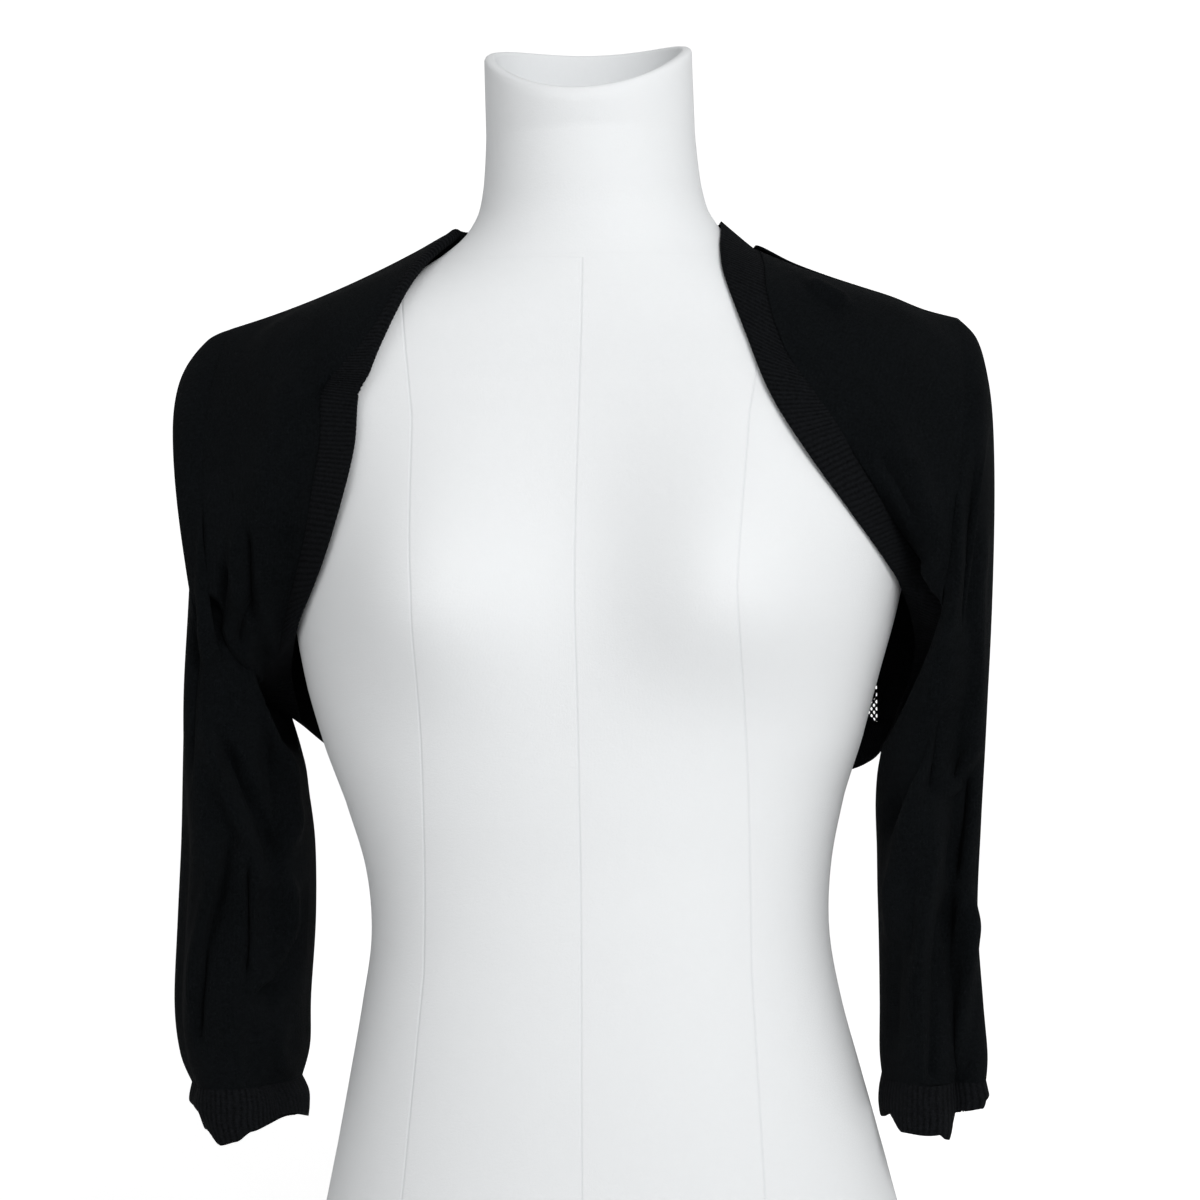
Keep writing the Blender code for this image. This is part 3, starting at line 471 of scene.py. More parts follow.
# a row per section of the form: height, half width, middle x, middle y, front, back, squareness
formSections = (
    (0, 167.0, 0.0, 8, 112, 112, 2.2),
    (34, 160.0, 0.0, 8, 111, 110, 2.2),
    (67, 151.5, -0.5, 6, 108, 105, 2.2),
    (100, 143.6, -1.0, 5, 104, 97, 2.2),
    (138, 134.8, -2.0, 2, 98, 86, 2.15),
    (175, 126.5, -3.0, 0, 92, 78, 2.15),
    (210, 121.2, -3.0, -1, 88, 74, 2.1),
    (245, 123.4, -3.5, 1, 88, 77, 2.1),
    (281, 132.5, -5.0, 3, 92, 83, 2.1),
    (309, 142.5, -5.5, 5, 95, 88, 2.15),
    (341, 151.5, -5.5, 7, 98, 93, 2.2),
    (376, 159.8, -3.5, 9, 100, 96, 2.25),
    (412, 166.5, -2.0, 10, 99, 99, 2.3),
    (448, 173.5, -2.0, 11, 92, 99, 2.4),
    (480, 180.5, -2.0, 12, 84, 95, 2.5),
    (502, 186.5, -2.0, 12, 77, 90, 2.5),
    (515, 187.5, -2.0, 12, 72, 86, 2.5),
    (526, 181.0, -2.0, 12, 68, 80, 2.35),
    (535, 164.0, -2.0, 12, 66, 76, 2.2),
    (544, 139.0, -2.0, 12, 64, 72, 2.15),
    (552, 117.0, -2.0, 12, 62, 67, 2.1),
    (560, 98.0, -1.5, 12, 60, 62, 2.05),
    (569, 82.0, -1.5, 12, 58, 57, 2.0),
    (579, 69.5, -1.0, 12, 57, 53, 2.0),
    (591, 61.5, -1.0, 11, 55, 50, 2.0),
    (606, 57.8, -1.0, 8, 54, 49, 2.0),
    (630, 55.6, -1.0, 4, 53, 50, 2.0),
    (650, 55.0, -1.0, 0, 52, 51, 2.0),
)

formCover = {
    "sides": 160,
    "rings": 170,
    "bustHeight": 390.0,
    "bustSpread": 80.0,        # bust point from the middle
    "bustDepth": 38.0,
    "bustWidth": 40.0,
    "bustAbove": 55.0,
    "bustBelow": 36.0,
    "bustShift": -3.0,
    "rimHeight": 670.0,
    "rimMiddleY": -3.0,
    "rimDepth": 52.0,
    "rimSlope": 16.0,
    "rimLobes": 10.0,
    "rimWidth": 6.0,
    "neckCut": 18.0,           # the round neck ends this far below its last section
    "recessDepth": 12.0,       # how far down the inside of the rim goes straight
    "recessFloor": 628.0,
    "recessTaper": 0.97,
    "recessShift": 2.0,
    "baseEdge": 3.0,
    "baseShrink": 0.983,
    "hipRound": 0.95,          # metres round, for the jersey's threads
    "seamTop": 562.0,          # the panel seams stop here
    "seamAway": 60.0,          # read as no seam near
}


def formSection(height):
    rows = formSections
    height = min(max(height, rows[0][0]), rows[-1][0])
    index = max(i for i in range(len(rows) - 1) if rows[i][0] <= height)
    share = (height - rows[index][0]) / (rows[index + 1][0] - rows[index][0])
    return spline(rows, (index + share) / (len(rows) - 1))[1:]


def formBust(x, height):
    form = formCover
    spread = form["bustBelow"] if height < form["bustHeight"] else form["bustAbove"]
    depth = 0.0
    for side in (-1.0, 1.0):
        across = (x - side * form["bustSpread"] - form["bustShift"]) / form["bustWidth"]
        along = (height - form["bustHeight"]) / spread
        depth += form["bustDepth"] * math.exp(-0.5 * (across * across + along * along))
    return depth


def formPoint(height, angle):
    halfWidth, middleX, middleY, front, back, power = formSection(height)
    cosine = math.cos(angle)
    sine = math.sin(angle)
    x = middleX + halfWidth * math.copysign(abs(cosine) ** (2.0 / power), cosine)
    reach = abs(sine) ** (2.0 / power)
    if sine < 0.0:
        return Vector((x, middleY - front * reach - formBust(x, height) * reach ** 0.3, height))
    return Vector((x, middleY + back * reach, height))


def rimPoint(angle, drop, inset):
    form = formCover
    x = formSections[-1][2] + (formSections[-1][1] - inset) * math.cos(angle)
    y = form["rimMiddleY"] + (form["rimDepth"] - inset) * math.sin(angle)
    lift = form["rimSlope"] * math.sin(angle) + form["rimLobes"] * (math.cos(angle) ** 2 - 0.5)
    return Vector((x, y, form["rimHeight"] + lift - drop))


# panel seams of the cover: height and x of each line, on the front
coverSeams = (
    ((0, -106), (70, -101), (195, -88), (290, -86), (390, -84), (480, -88), (560, -100)),
    ((0, -6), (200, -5), (390, -4), (560, -2)),
    ((0, 88), (70, 86), (195, 80), (290, 80), (390, 78), (480, 84), (560, 98)),
)


def seamX(line, height):
    for low, high in zip(line, line[1:]):
        if height <= high[0]:
            t = max((height - low[0]) / (high[0] - low[0]), 0.0)
            return low[1] + (high[1] - low[1]) * t
    return line[-1][1]


def makeFormCover():
    form = formCover
    sides = form["sides"]
    angles = [2.0 * math.pi * (j + 0.5) / sides - math.pi / 2.0 for j in range(sides)]
    top = formSections[-1][0] - form["neckCut"]
    base = [formPoint(0.0, a) for a in angles]
    shrink = form["baseShrink"]
    grid = [[Vector((p.x * shrink, p.y * shrink, 0.0)) for p in base],
            [Vector((p.x, p.y, form["baseEdge"])) for p in base]]
    for i in range(form["rings"]):
        height = form["baseEdge"] + (top - form["baseEdge"]) * (i + 1) / form["rings"]
        grid.append([formPoint(height, a) for a in angles])
    wall = form["rimWidth"]
    for drop, inset in ((9.0, 0.0), (5.0, 0.0), (2.2, 0.0), (0.7, 0.7), (0.0, 2.0), (0.0, wall - 1.6),
                        (0.7, wall - 0.4), (2.4, wall), (form["recessDepth"], wall + 0.4)):
        grid.append([rimPoint(a, drop, inset) for a in angles])
    for share in (0.3, 0.6, 0.9, 1.0):
        line = []
        for a in angles:
            point = rimPoint(a, form["recessDepth"], wall + 0.4)
            taper = form["recessTaper"]
            floor = Vector((point.x * taper, point.y * taper + form["recessShift"], form["recessFloor"]))
            line.append(point.lerp(floor, share))
        grid.append(line)

    def coverUv(down, around, point):
        return (around * form["hipRound"], point.z * mm)

    cover = gridMesh("formJersey", grid, whiteJersey, coverUv, closed=True, capEnds=True)
    gaps = cover.data.attributes.new("seamGaps", "FLOAT_VECTOR", "POINT")
    values = []
    for vert in cover.data.vertices:
        x, y, z = vert.co / mm
        for line in coverSeams:
            values.append(x - seamX(line, z) if z < form["seamTop"] else form["seamAway"])
    gaps.data.foreach_set("vector", values)
    return cover


formJersey = makeFormCover()
formTree = BVHTree.FromPolygons([v.co / mm for v in formJersey.data.vertices],
                                [tuple(p.vertices) for p in formJersey.data.polygons])
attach(formJersey, "root")
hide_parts("dress_form")
print("dress form made")


def pushClear(point, gap):
    spot, normal, _, distance = formTree.find_nearest(point)
    if (point - spot).dot(normal) > 0.0 and distance >= gap:
        return point
    return spot + normal * gap


# free edge, seam edge and the width tucked under, a row per section
bandNeck = (
    (65, 9, 583, 83, 11, 568, 0),
    (61, 40, 586, 75, 50, 567, 0),
    (36, 60, 592, 43, 73, 570, 0),
    (0, 66, 594, 0, 79, 571, 0),
    (-36, 60, 592, -43, 73, 570, 0),
    (-62, 42, 587, -76, 51, 569, 8),
    (-70, 28, 584, -82, 34, 569, 15),
    (-72, 9, 582, -85, 10, 571, 22),
)
bandFrontLeft = (
    (65, 9, 583, 83, 11, 568, 0),
    (68, -24, 568, 85, -20, 561, 0),
    (71, -42, 551, 89, -43, 542, 0),
    (82, -59, 520, 100, -60, 510, 0),
    (95, -73, 487, 118, -66, 486, 0),
    (114, -79, 456, 135, -62, 466, 0),
    (135, -67, 426, 155, -40, 436, 0),
    (151, -42, 402, 168, -24, 407, 0),
    (161, -10, 384, 175, -13, 378, 0),
    (166, 12, 363, 181, 2, 360, 0),
    (164, 22, 344, 181, 16, 349, 0),
    (158, 26, 328, 179, 30, 341, 0),
)
bandFrontRight = (
    (-72, 9, 582, -85, 10, 571, 22),
    (-84, -15, 566, -96, -9, 559, 22),
    (-94, -39, 548, -108, -33, 544, 22),
    (-105, -57, 524, -125, -50, 522, 19),
    (-112, -65, 506, -131, -58, 507, 10),
    (-117, -66, 491, -134, -57, 494, 0),
    (-118, -75, 466, -137, -62, 468, 0),
    (-124, -82, 438, -144, -64, 442, 0),
    (-136, -74, 406, -158, -45, 408, 0),
    (-153, -46, 377, -170, -24, 366, 0),
    (-163, -12, 361, -180, -8, 350, 0),
    (-167, 6, 344, -185, 10, 341, 0),
    (-165, 20, 322, -185, 28, 333, 0),
)
bandHem = (
    (158, 26, 328, 179, 30, 341, 0),
    (150, 56, 307, 164, 65, 325, 0),
    (140, 75, 294, 147, 83, 316, 0),
    (118, 91, 287, 121, 97, 310, 0),
    (64, 105, 286, 66, 109, 310, 0),
    (0, 110, 286, 0, 113, 310, 0),
    (-64, 105, 288, -66, 109, 312, 0),
    (-120, 90, 294, -124, 96, 317, 0),
    (-146, 71, 301, -154, 79, 322, 0),
    (-156, 52, 308, -170, 62, 326, 0),
    (-165, 20, 322, -185, 28, 333, 0),
)

ribBand = {
    "width": 24.0,
    "pitch": 2.5,            # one rib
    "ribDepth": 0.22,
    "wall": 1.3,
    "formGap": 2.0,
    "tuckRadius": 2.0,
    "fullTuck": 12.0,
    "flatColumns": 9,
    "tuckColumns": 21,
    "stepsPerRib": 4,
    "ribsToMetre": 400.0,
    "cuffRibs": 72,
    "cuffDepth": 0.027,      # metres
}


def foldShare(row):
    # how fully the band is folded under at this row
    return softStep(row[6], 0.0, ribBand["fullTuck"])


def bandFrame(row):
    band = ribBand
    edge = Vector(row[0:3])
    seam = Vector(row[3:6])
    tuck = max(row[6], 0.0)
    fold = foldShare(row)
    radius = band["tuckRadius"] * fold
    lift = band["formGap"] + (2.0 * radius + 1.0) * fold
    edge = pushClear(edge, lift)
    seam = pushClear(seam, lift)
    inward = (edge - seam).normalized()
    under = -formTree.find_nearest(edge)[1]
    under = (under - inward * under.dot(inward)).normalized()
    flat = max(band["width"] - tuck, 0.0)
    return edge, inward, under, flat, radius


def seamPoint(row):
    edge, inward, under, flat, radius = bandFrame(row)
    return edge - inward * (flat + radius)


def bandLine(row, columns):
    band = ribBand
    edge, inward, under, flat, radius = bandFrame(row)
    start = seamPoint(row)
    bend = math.pi * radius
    line = []
    for k in range(columns):
        run = band["width"] * k / (columns - 1)
        if run <= flat:
            point = start + inward * run
        elif run < flat + bend:
            turn = (run - flat) / radius
            point = start + inward * (flat + radius * math.sin(turn))
            point = point + under * (radius * (1.0 - math.cos(turn)))
        else:
            point = start + inward * (flat - (run - flat - bend)) + under * (2.0 * radius)
        line.append(pushClear(point, band["formGap"]))
    return line


def bandLength(table):
    middles = [(Vector(row[0:3]) + Vector(row[3:6])) / 2.0 for row in table]
    return sum((b - a).length for a, b in zip(middles, middles[1:]))


def makeBand(name, table, node, tucked, outward):
    band = ribBand
    length = bandLength(table)
    ribs = int(length / band["pitch"])
    rows = ribs * band["stepsPerRib"] + 1
    columns = band["tuckColumns"] if tucked else band["flatColumns"]
    grid = [bandLine(spline(table, i / (rows - 1)), columns) for i in range(rows)]
    normals = gridNormals(grid)
    if normals[rows // 2][columns // 3].dot(outward) < 0.0:
        normals = [[-n for n in line] for line in normals]
    for i in range(rows):
        rib = 0.5 - 0.5 * math.cos(2.0 * math.pi * i / band["stepsPerRib"])
        for j in range(columns):
            grid[i][j] = grid[i][j] + normals[i][j] * (band["ribDepth"] * rib)

    def bandUv(down, across, point):
        return (down * ribs / band["ribsToMetre"], across * band["width"] * mm)

    piece = gridMesh(name, grid, ribCloth, bandUv, outward=outward)
    finishPiece(piece, band["wall"], node)
    return piece, length


def addWall(piece, thickness):
    wall = piece.modifiers.new("wall", "SOLIDIFY")
    wall.thickness = thickness * mm
    wall.offset = 0.0
    wall.use_rim = True
    wall.use_even_offset = False


def finishPiece(piece, wall, node):
    addWall(piece, wall)
    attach(piece, "root")
    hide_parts(node)


armholeLeft = (
    (0, 191, 10, 530), (38, 193, -26, 491), (75, 188, -44, 438), (112, 181, -42, 388),
    (148, 183, -20, 358), (180, 187, 28, 347), (212, 187, 50, 364), (255, 188, 58, 404),
    (295, 192, 54, 458), (328, 193, 40, 502),
)
armholeRight = (
    (0, -197, 10, 534), (38, -203, -26, 494), (75, -203, -45, 440), (112, -200, -45, 386),
    (148, -196, -24, 348), (180, -193, 26, 338), (212, -191, 56, 358), (255, -197, 58, 402),
    (295, -202, 54, 458), (328, -202, 40, 502),
)

panelSizes = {
    "wall": 1.2,
    "laceWall": 0.8,
    "borderGap": 4.0,          # soft borders stand this far off the form
    "backGap": 5.0,
    "backPasses": 4,
    "easeKeep": 0.4,           # how much of itself a point keeps when it is eased
    "tuckRest": 1.8,
    "outerHold": 6,            # higher keeps a border's move nearer its edge
    "innerHold": 12,
    "frontTurn": 0.4,          # how far the fronts look sideways
    "frontNear": 0.6,
    "frontWrap": 0.6,          # stitches keep their width round the side
    "backWrap": 1.1,
    "swellHigh": 0.7,
    "formGap": 3.4,
    "frontRows": 17,           # coarse points that the smooth cloth runs through
    "frontColumns": 7,
    "backRows": 18,
    "backColumns": 25,
    "neckRows": 13,
    "fineRows": 150,
    "fineColumns": 90,
    "backFineRows": 170,
    "backFineColumns": 240,
    "frontSwell": 5.0,
    "backSwell": 4.0,
    "shoulderSag": 4.0,
    "laceRow": 9,
    "laceColumn": 3,
    "overTuck": (5.0, 5.0, 4.6, 3.6, 2.6),
}


def shoulderLine(seam, outer):
    sizes = panelSizes
    line = []
    for j in range(sizes["frontColumns"]):
        share = j / (sizes["frontColumns"] - 1)
        point = seam.lerp(outer, share)
        point.z -= sizes["shoulderSag"] * 4.0 * share * (1.0 - share)
        line.append(pushClear(point, panelSizes["borderGap"]))
    return line


def easeGrid(grid, gap, passes=2):
    keep = panelSizes["easeKeep"]
    for _ in range(passes):
        grid = [[pushClear(point, gap) for point in row] for row in grid]
        soft = [list(row) for row in grid]
        for i in range(1, len(grid) - 1):
            for j in range(1, len(grid[0]) - 1):
                around = grid[i - 1][j] + grid[i + 1][j] + grid[i][j - 1] + grid[i][j + 1]
                soft[i][j] = grid[i][j] * keep + around * ((1.0 - keep) / 4.0)
        grid = soft
    return [[pushClear(point, gap) for point in row] for row in grid]


def layCloth(grid, creases, facing, closed=False, gap=None):
    # creases stand out along the normals of the smooth cloth, on the side they face
    normals = gridNormals(grid, closed)
    middle = normals[len(grid) // 2][len(grid[0]) // 2]
    flip = -1.0 if middle.dot(facing) < 0.0 else 1.0
    laid = []
    for i, row in enumerate(grid):
        line = []
        for j, point in enumerate(row):
            normal = normals[i][j] * flip
            height = 0.0
            for side, rows in creases:
                turned = softStep(normal.dot(side), *creaseTurn)
                if turned > 0.0:
                    height += turned * creaseHeight(point, rows)
            point = point + normal * height
            if gap is not None:
                point = pushClear(point, gap)
            line.append(point)
        laid.append(line)
    return laid


frontSide = Vector((0.0, -1.0, 0.0))
backSide = Vector((0.0, 1.0, 0.0))

# creases of the fronts: line in (x, z), width, height, fade at the ends
creasesFrontRight = readCreases((
    (((-178, 428), (-178, 402), (-177, 372)), 2.6, -2.6, 0.25),
    (((-184, 430), (-185, 400), (-184, 372)), 3.6, 2.0, 0.3),
    (((-189, 410), (-193, 390), (-196, 370)), 2.8, -2.4, 0.25),
    (((-179, 388), (-184, 376), (-188, 362)), 2.4, -2.2, 0.2),
    (((-171, 405), (-172, 380), (-170, 352)), 4.0, 1.8, 0.3),
    (((-200, 392), (-198, 371), (-192, 350)), 2.6, -5.0, 0.2),
    (((-187, 366), (-184, 352), (-180, 340)), 3.4, 2.6, 0.2),
    (((-163, 366), (-159, 345), (-152, 326)), 3.0, -2.4, 0.25),
    (((-152, 520), (-166, 470), (-172, 420)), 9.0, 1.6, 0.3),
    (((-140, 480), (-150, 440), (-160, 400)), 6.0, -1.3, 0.3),
))
creasesFrontLeft = readCreases((
    (((111, 548), (123, 541), (136, 533)), 3.2, 2.4, 0.25),
    (((100, 552), (118, 536), (132, 522)), 4.5, -1.6, 0.3),
    (((146, 462), (158, 440), (170, 415)), 3.6, -1.6, 0.3),
    (((152, 478), (166, 448), (177, 418), (180, 385)), 6.0, 1.6, 0.3),
    (((172, 408), (177, 388), (178, 366)), 3.4, 2.4, 0.25),
    (((168, 396), (172, 380), (174, 362)), 2.4, -1.6, 0.25),
))
creasesBack = readCreases((
    (((-150, 520), (-120, 470), (-95, 425)), 9.0, -2.0, 0.3),
    (((-172, 470), (-160, 420), (-150, 370)), 5.0, 2.4, 0.3),
    (((-163, 460), (-150, 410), (-142, 360)), 4.0, -2.2, 0.3),
    (((150, 515), (122, 470), (100, 430)), 9.0, -1.8, 0.3),
    (((172, 470), (162, 425), (156, 375)), 5.0, 2.2, 0.3),
    (((164, 455), (152, 408), (146, 362)), 4.0, -2.0, 0.3),
    (((-60, 545), (0, 534), (60, 546)), 7.0, -1.6, 0.35),
    (((-70, 500), (-66, 450), (-68, 410)), 7.0, 1.4, 0.35),
    (((40, 505), (46, 460), (44, 415)), 7.0, 1.5, 0.35),
))


def makeFront(name, node, bandTable, armhole, creases, sideways):
    sizes = panelSizes
    rows = sizes["frontRows"]
    control = []
    for i in range(rows):
        along = i / (rows - 1)
        start = seamPoint(spline(bandTable, along))
        outer = ringSpline(armhole, 180.0 * along)
        line = []
        for j in range(sizes["frontColumns"]):
            across = j / (sizes["frontColumns"] - 1)
            point = start.lerp(outer, across)
            swell = 4.0 * across * (1.0 - across)
            point.y -= sizes["frontSwell"] * swell * math.sin(math.pi * along)
            line.append(point)
        if i == 0:
            line = shoulderLine(start, outer)
        control.append(line)
    control = easeGrid(control, sizes["borderGap"])
    for i in range(rows):
        fold = foldShare(spline(bandTable, i / (rows - 1)))
        for j, lift in enumerate(sizes["overTuck"]):
            gap = sizes["borderGap"] + (lift - sizes["tuckRest"]) * fold
            control[i][j] = pushClear(control[i][j], gap)
    grid = smoothPatch(control, sizes["fineRows"], sizes["fineColumns"])
    # the fine borders follow the same curves as the band and the sleeve
    for i, row in enumerate(grid):
        along = i / (sizes["fineRows"] - 1)
        outerMove = ringSpline(armhole, 180.0 * along) - row[-1]
        innerMove = seamPoint(spline(bandTable, along)) - row[0]
        for j in range(len(row)):
            share = j / (len(row) - 1)
            row[j] = (row[j] + outerMove * share ** sizes["outerHold"]
                      + innerMove * (1.0 - share) ** sizes["innerHold"])
    facing = frontSide + sideways * sizes["frontTurn"]
    grid = layCloth(grid, ((frontSide, creases),), facing, gap=sizes["formGap"] - sizes["frontNear"])

    def frontUv(down, across, point):
        return (point.x * mm - point.y * mm * sideways.x * sizes["frontWrap"], point.z * mm)

    piece = gridMesh(name, grid, knitCloth, frontUv, outward=frontSide)
    finishPiece(piece, sizes["wall"], node)
    return piece


def backControl():
    sizes = panelSizes
    top = list(reversed(shoulderLine(seamPoint(bandNeck[0]), ringSpline(armholeLeft, 0.0))))
    for i in range(1, sizes["neckRows"] - 1):
        top.append(seamPoint(spline(bandNeck, i / (sizes["neckRows"] - 1))))
    top.extend(shoulderLine(seamPoint(bandNeck[-1]), ringSpline(armholeRight, 0.0)))
    columns = sizes["backColumns"]
    rows = sizes["backRows"]
    bottom = [seamPoint(spline(bandHem, j / (columns - 1))) for j in range(columns)]
    sides = []
    for armhole, corner in ((armholeLeft, bottom[0]), (armholeRight, bottom[-1])):
        border = [ringSpline(armhole, 360.0 - 180.0 * i / (rows - 2)) for i in range(rows - 1)]
        border.append(corner)
        sides.append([pushClear(point, sizes["borderGap"]) for point in border])
    left, right = sides
    grid = []
    for i in range(rows):
        down = i / (rows - 1)
        line = []
        for j in range(columns):
            across = j / (columns - 1)
            corners = (top[0] * (1 - across) * (1 - down) + top[-1] * across * (1 - down)
                       + bottom[0] * (1 - across) * down + bottom[-1] * across * down)
            point = top[j] * (1 - down) + bottom[j] * down - corners
            point = point + left[i] * (1 - across) + right[i] * across
            high = math.sin(math.pi * down ** sizes["swellHigh"])
            point.y += sizes["backSwell"] * math.sin(math.pi * across) * high
            line.append(point)
        grid.append(line)
    return easeGrid(grid, sizes["backGap"], passes=sizes["backPasses"])


def backUv(down, across, point):
    return (point.x * mm * panelSizes["backWrap"], point.z * mm)


def makeBack():
    sizes = panelSizes
    grid = smoothPatch(backControl(), sizes["backFineRows"], sizes["backFineColumns"])
    grid = layCloth(grid, ((backSide, creasesBack),), backSide, gap=sizes["formGap"])
    rows = sizes["backFineRows"]
    columns = sizes["backFineColumns"]
    laceTop = int(rows * sizes["laceRow"] / (sizes["backRows"] - 1))
    laceSide = int(columns * sizes["laceColumn"] / (sizes["backColumns"] - 1))
    piece = gridMesh("backPanel", grid, knitCloth, backUv, outward=backSide)
    # the lace inset is cut out of the plain knit
    mesh = bmesh.new()
    mesh.from_mesh(piece.data)
    mesh.faces.ensure_lookup_table()
    cut = []
    for face in mesh.faces:
        i = face.index // (columns - 1)
        j = face.index % (columns - 1)
        if i >= laceTop and laceSide <= j < columns - 1 - laceSide:
            cut.append(face)
    bmesh.ops.delete(mesh, geom=cut, context="FACES")
    mesh.to_mesh(piece.data)
    mesh.free()
    piece.data.polygons.foreach_set("use_smooth", [True] * len(piece.data.polygons))
    finishPiece(piece, sizes["wall"], "back")
    inset = [row[laceSide:columns - laceSide] for row in grid[laceTop:]]
    return piece, inset


# a row per ring: outer line x and z, inner line x and z, middle y, half depth, squareness
sleeveLeftRows = (
    (191, 530, 187, 347, 10, 54, 2.0),
    (200.5, 519, 190, 336, 8, 52, 2.1),
    (205.5, 500, 187, 322, 6, 49, 2.1),
    (208, 474, 169, 316, 4, 46, 2.1),
    (208, 430, 151, 308, 4, 44, 2.2),
    (205.5, 372, 146, 296, 6, 44, 2.4),
    (201.5, 315, 143.5, 275, 9, 45, 2.5),
    (197.5, 265, 143.5, 248, 9, 45, 2.5),
    (194.5, 218, 144.5, 212, 7, 44, 2.5),
    (196.5, 174, 144.5, 172, 6, 43, 2.5),
    (198.5, 146, 144, 146, 5, 41, 2.4),
    (197.5, 131, 145, 133, 5, 38, 2.3),
)
sleeveRightRows = (
    (-197, 534, -193, 338, 10, 54, 2.0),
    (-209.5, 528, -200, 328, 8, 52, 2.1),
    (-221.5, 511, -199, 314, 6, 49, 2.1),
    (-222, 490, -184, 312, 4, 46, 2.1),
    (-215.5, 458, -168, 306, 4, 44, 2.2),
    (-219, 398, -163, 297, 6, 44, 2.4),
    (-224, 320, -162, 283, 10, 46, 2.5),
    (-226.5, 264, -158.5, 256, 8, 45, 2.5),
    (-229.5, 218, -158.5, 216, 7, 44, 2.5),
    (-232, 174, -161.5, 174, 6, 43, 2.5),
    (-229.5, 147, -162, 148, 5, 41, 2.4),
    (-223.5, 131, -166.5, 131, 5, 38, 2.3),
)
cuffLeftRows = (
    (197.5, 131, 145, 133, 5, 38, 2.3),
    (198.5, 125, 143.5, 125, 5, 40, 2.3),
    (199, 118, 143, 116, 5, 41, 2.3),
    (198, 111, 143.5, 107, 5, 41, 2.3),
)
cuffRightRows = (
    (-223.5, 131, -166.5, 131, 5, 38, 2.3),
    (-225, 122, -163, 123, 5, 40, 2.3),
    (-224, 113, -163, 115, 5, 41, 2.3),
    (-219, 102, -164, 109, 5, 41, 2.3),
)

# large folds: top height and turn, end height and turn, spread in degrees, depth
foldsLeft = (
    (322, 60, 90, 62, 14, -13),
    (330, 36, 90, 34, 11, 5),
    (300, 98, 90, 100, 15, 6),
    (440, 112, 250, 142, 22, -10),
    (330, 250, 110, 262, 18, -8),
    (330, 300, 150, 292, 16, 6),
)
foldsRight = (
    (330, 44, 235, 84, 13, 7),
    (285, 78, 190, 92, 10, -7),
    (440, 112, 110, 138, 24, -13),
    (425, 238, 325, 250, 20, -12),
    (270, 38, 120, 30, 10, -5),
    (250, 104, 185, 100, 12, 7),
    (330, 268, 110, 250, 18, -8),
)

sleeveSizes = {
    "sides": 144,
    "rings": 230,
    "cuffRings": 22,
    "cuffFront": (-20.0, 15.0),   # the wavy edge fades in from behind to the front
    "armholeBlend": 0.32,
    "foldFade": 8.0,
    "wall": 1.2,
    "round": 0.300,            # metres round, for the stitches
    "length": 0.400,           # metres, for the stitches
}

# finer creases, in the front view
creasesSleeveLeft = readCreases((
    (((203, 425), (199, 388), (198, 350), (197, 312)), 2.4, 1.2, 0.2),
    (((200, 470), (196, 430), (194, 390), (193, 345)), 4.0, -2.2, 0.3),
    (((190, 440), (188, 400), (184, 372), (176, 350)), 3.4, 2.2, 0.25),
    (((197, 312), (190, 294), (178, 280)), 3.0, 2.8, 0.2),
    (((192, 298), (189, 271), (185, 255), (182, 233)), 3.4, -3.4, 0.2),
    (((182, 236), (176, 200), (174, 173), (172, 145), (171, 130)), 4.0, -3.2, 0.15),
    (((195, 232), (190, 193), (186, 159), (183, 133)), 3.0, 2.2, 0.2),
    (((172, 306), (165, 287), (158, 262), (152, 233), (149, 200)), 3.4, 2.6, 0.25),
    (((183, 330), (176, 300), (171, 280)), 5.0, -3.6, 0.25),
    (((163, 260), (161, 220), (160, 180)), 4.5, -1.6, 0.3),
    (((198, 260), (197, 225), (198, 190)), 2.6, -1.4, 0.3),
    (((176, 330), (166, 300), (156, 276), (149, 258)), 4.0, -2.4, 0.25),
    (((178, 270), (170, 236), (163, 196), (160, 150)), 4.0, 1.8, 0.25),
    (((155, 215), (152, 180), (151, 145)), 3.2, -1.4, 0.3),
))
creasesSleeveRight = readCreases((
    (((-208, 326), (-202, 298), (-192, 275), (-182, 254)), 3.4, 3.4, 0.2),
    (((-199, 318), (-190, 296), (-178, 272), (-172, 250)), 3.6, -3.6, 0.25),
    (((-184, 256), (-186, 219), (-187, 186)), 2.6, -4.2, 0.2),
    (((-168, 320), (-165, 296), (-163, 274), (-169, 248)), 2.8, 2.4, 0.25),
    (((-169, 248), (-166, 228), (-166, 210), (-176, 193), (-188, 180)), 2.8, 2.6, 0.2),
    (((-192, 274), (-199, 238), (-208, 204), (-212, 175), (-213, 150)), 2.4, -2.8, 0.2),
    (((-199, 272), (-206, 236), (-214, 200), (-217, 165)), 3.4, 2.0, 0.25),
    (((-208, 400), (-211, 360), (-214, 320), (-216, 285)), 3.0, -1.8, 0.25),
    (((-203, 440), (-204, 410), (-206, 380), (-207, 350)), 2.4, 1.2, 0.25),
    (((-176, 240), (-178, 215), (-181, 195)), 3.6, -2.0, 0.25),
    (((-196, 205), (-197, 175), (-199, 145)), 5.0, 1.6, 0.3),
    (((-178, 330), (-175, 300), (-171, 270), (-176, 236)), 4.2, -2.6, 0.25),
    (((-158, 240), (-160, 215), (-170, 190), (-186, 172)), 4.5, -2.4, 0.2),
    (((-186, 172), (-184, 150), (-186, 134)), 5.0, -1.6, 0.3),
    (((-172, 168), (-174, 150), (-172, 134)), 3.6, 1.4, 0.3),
))
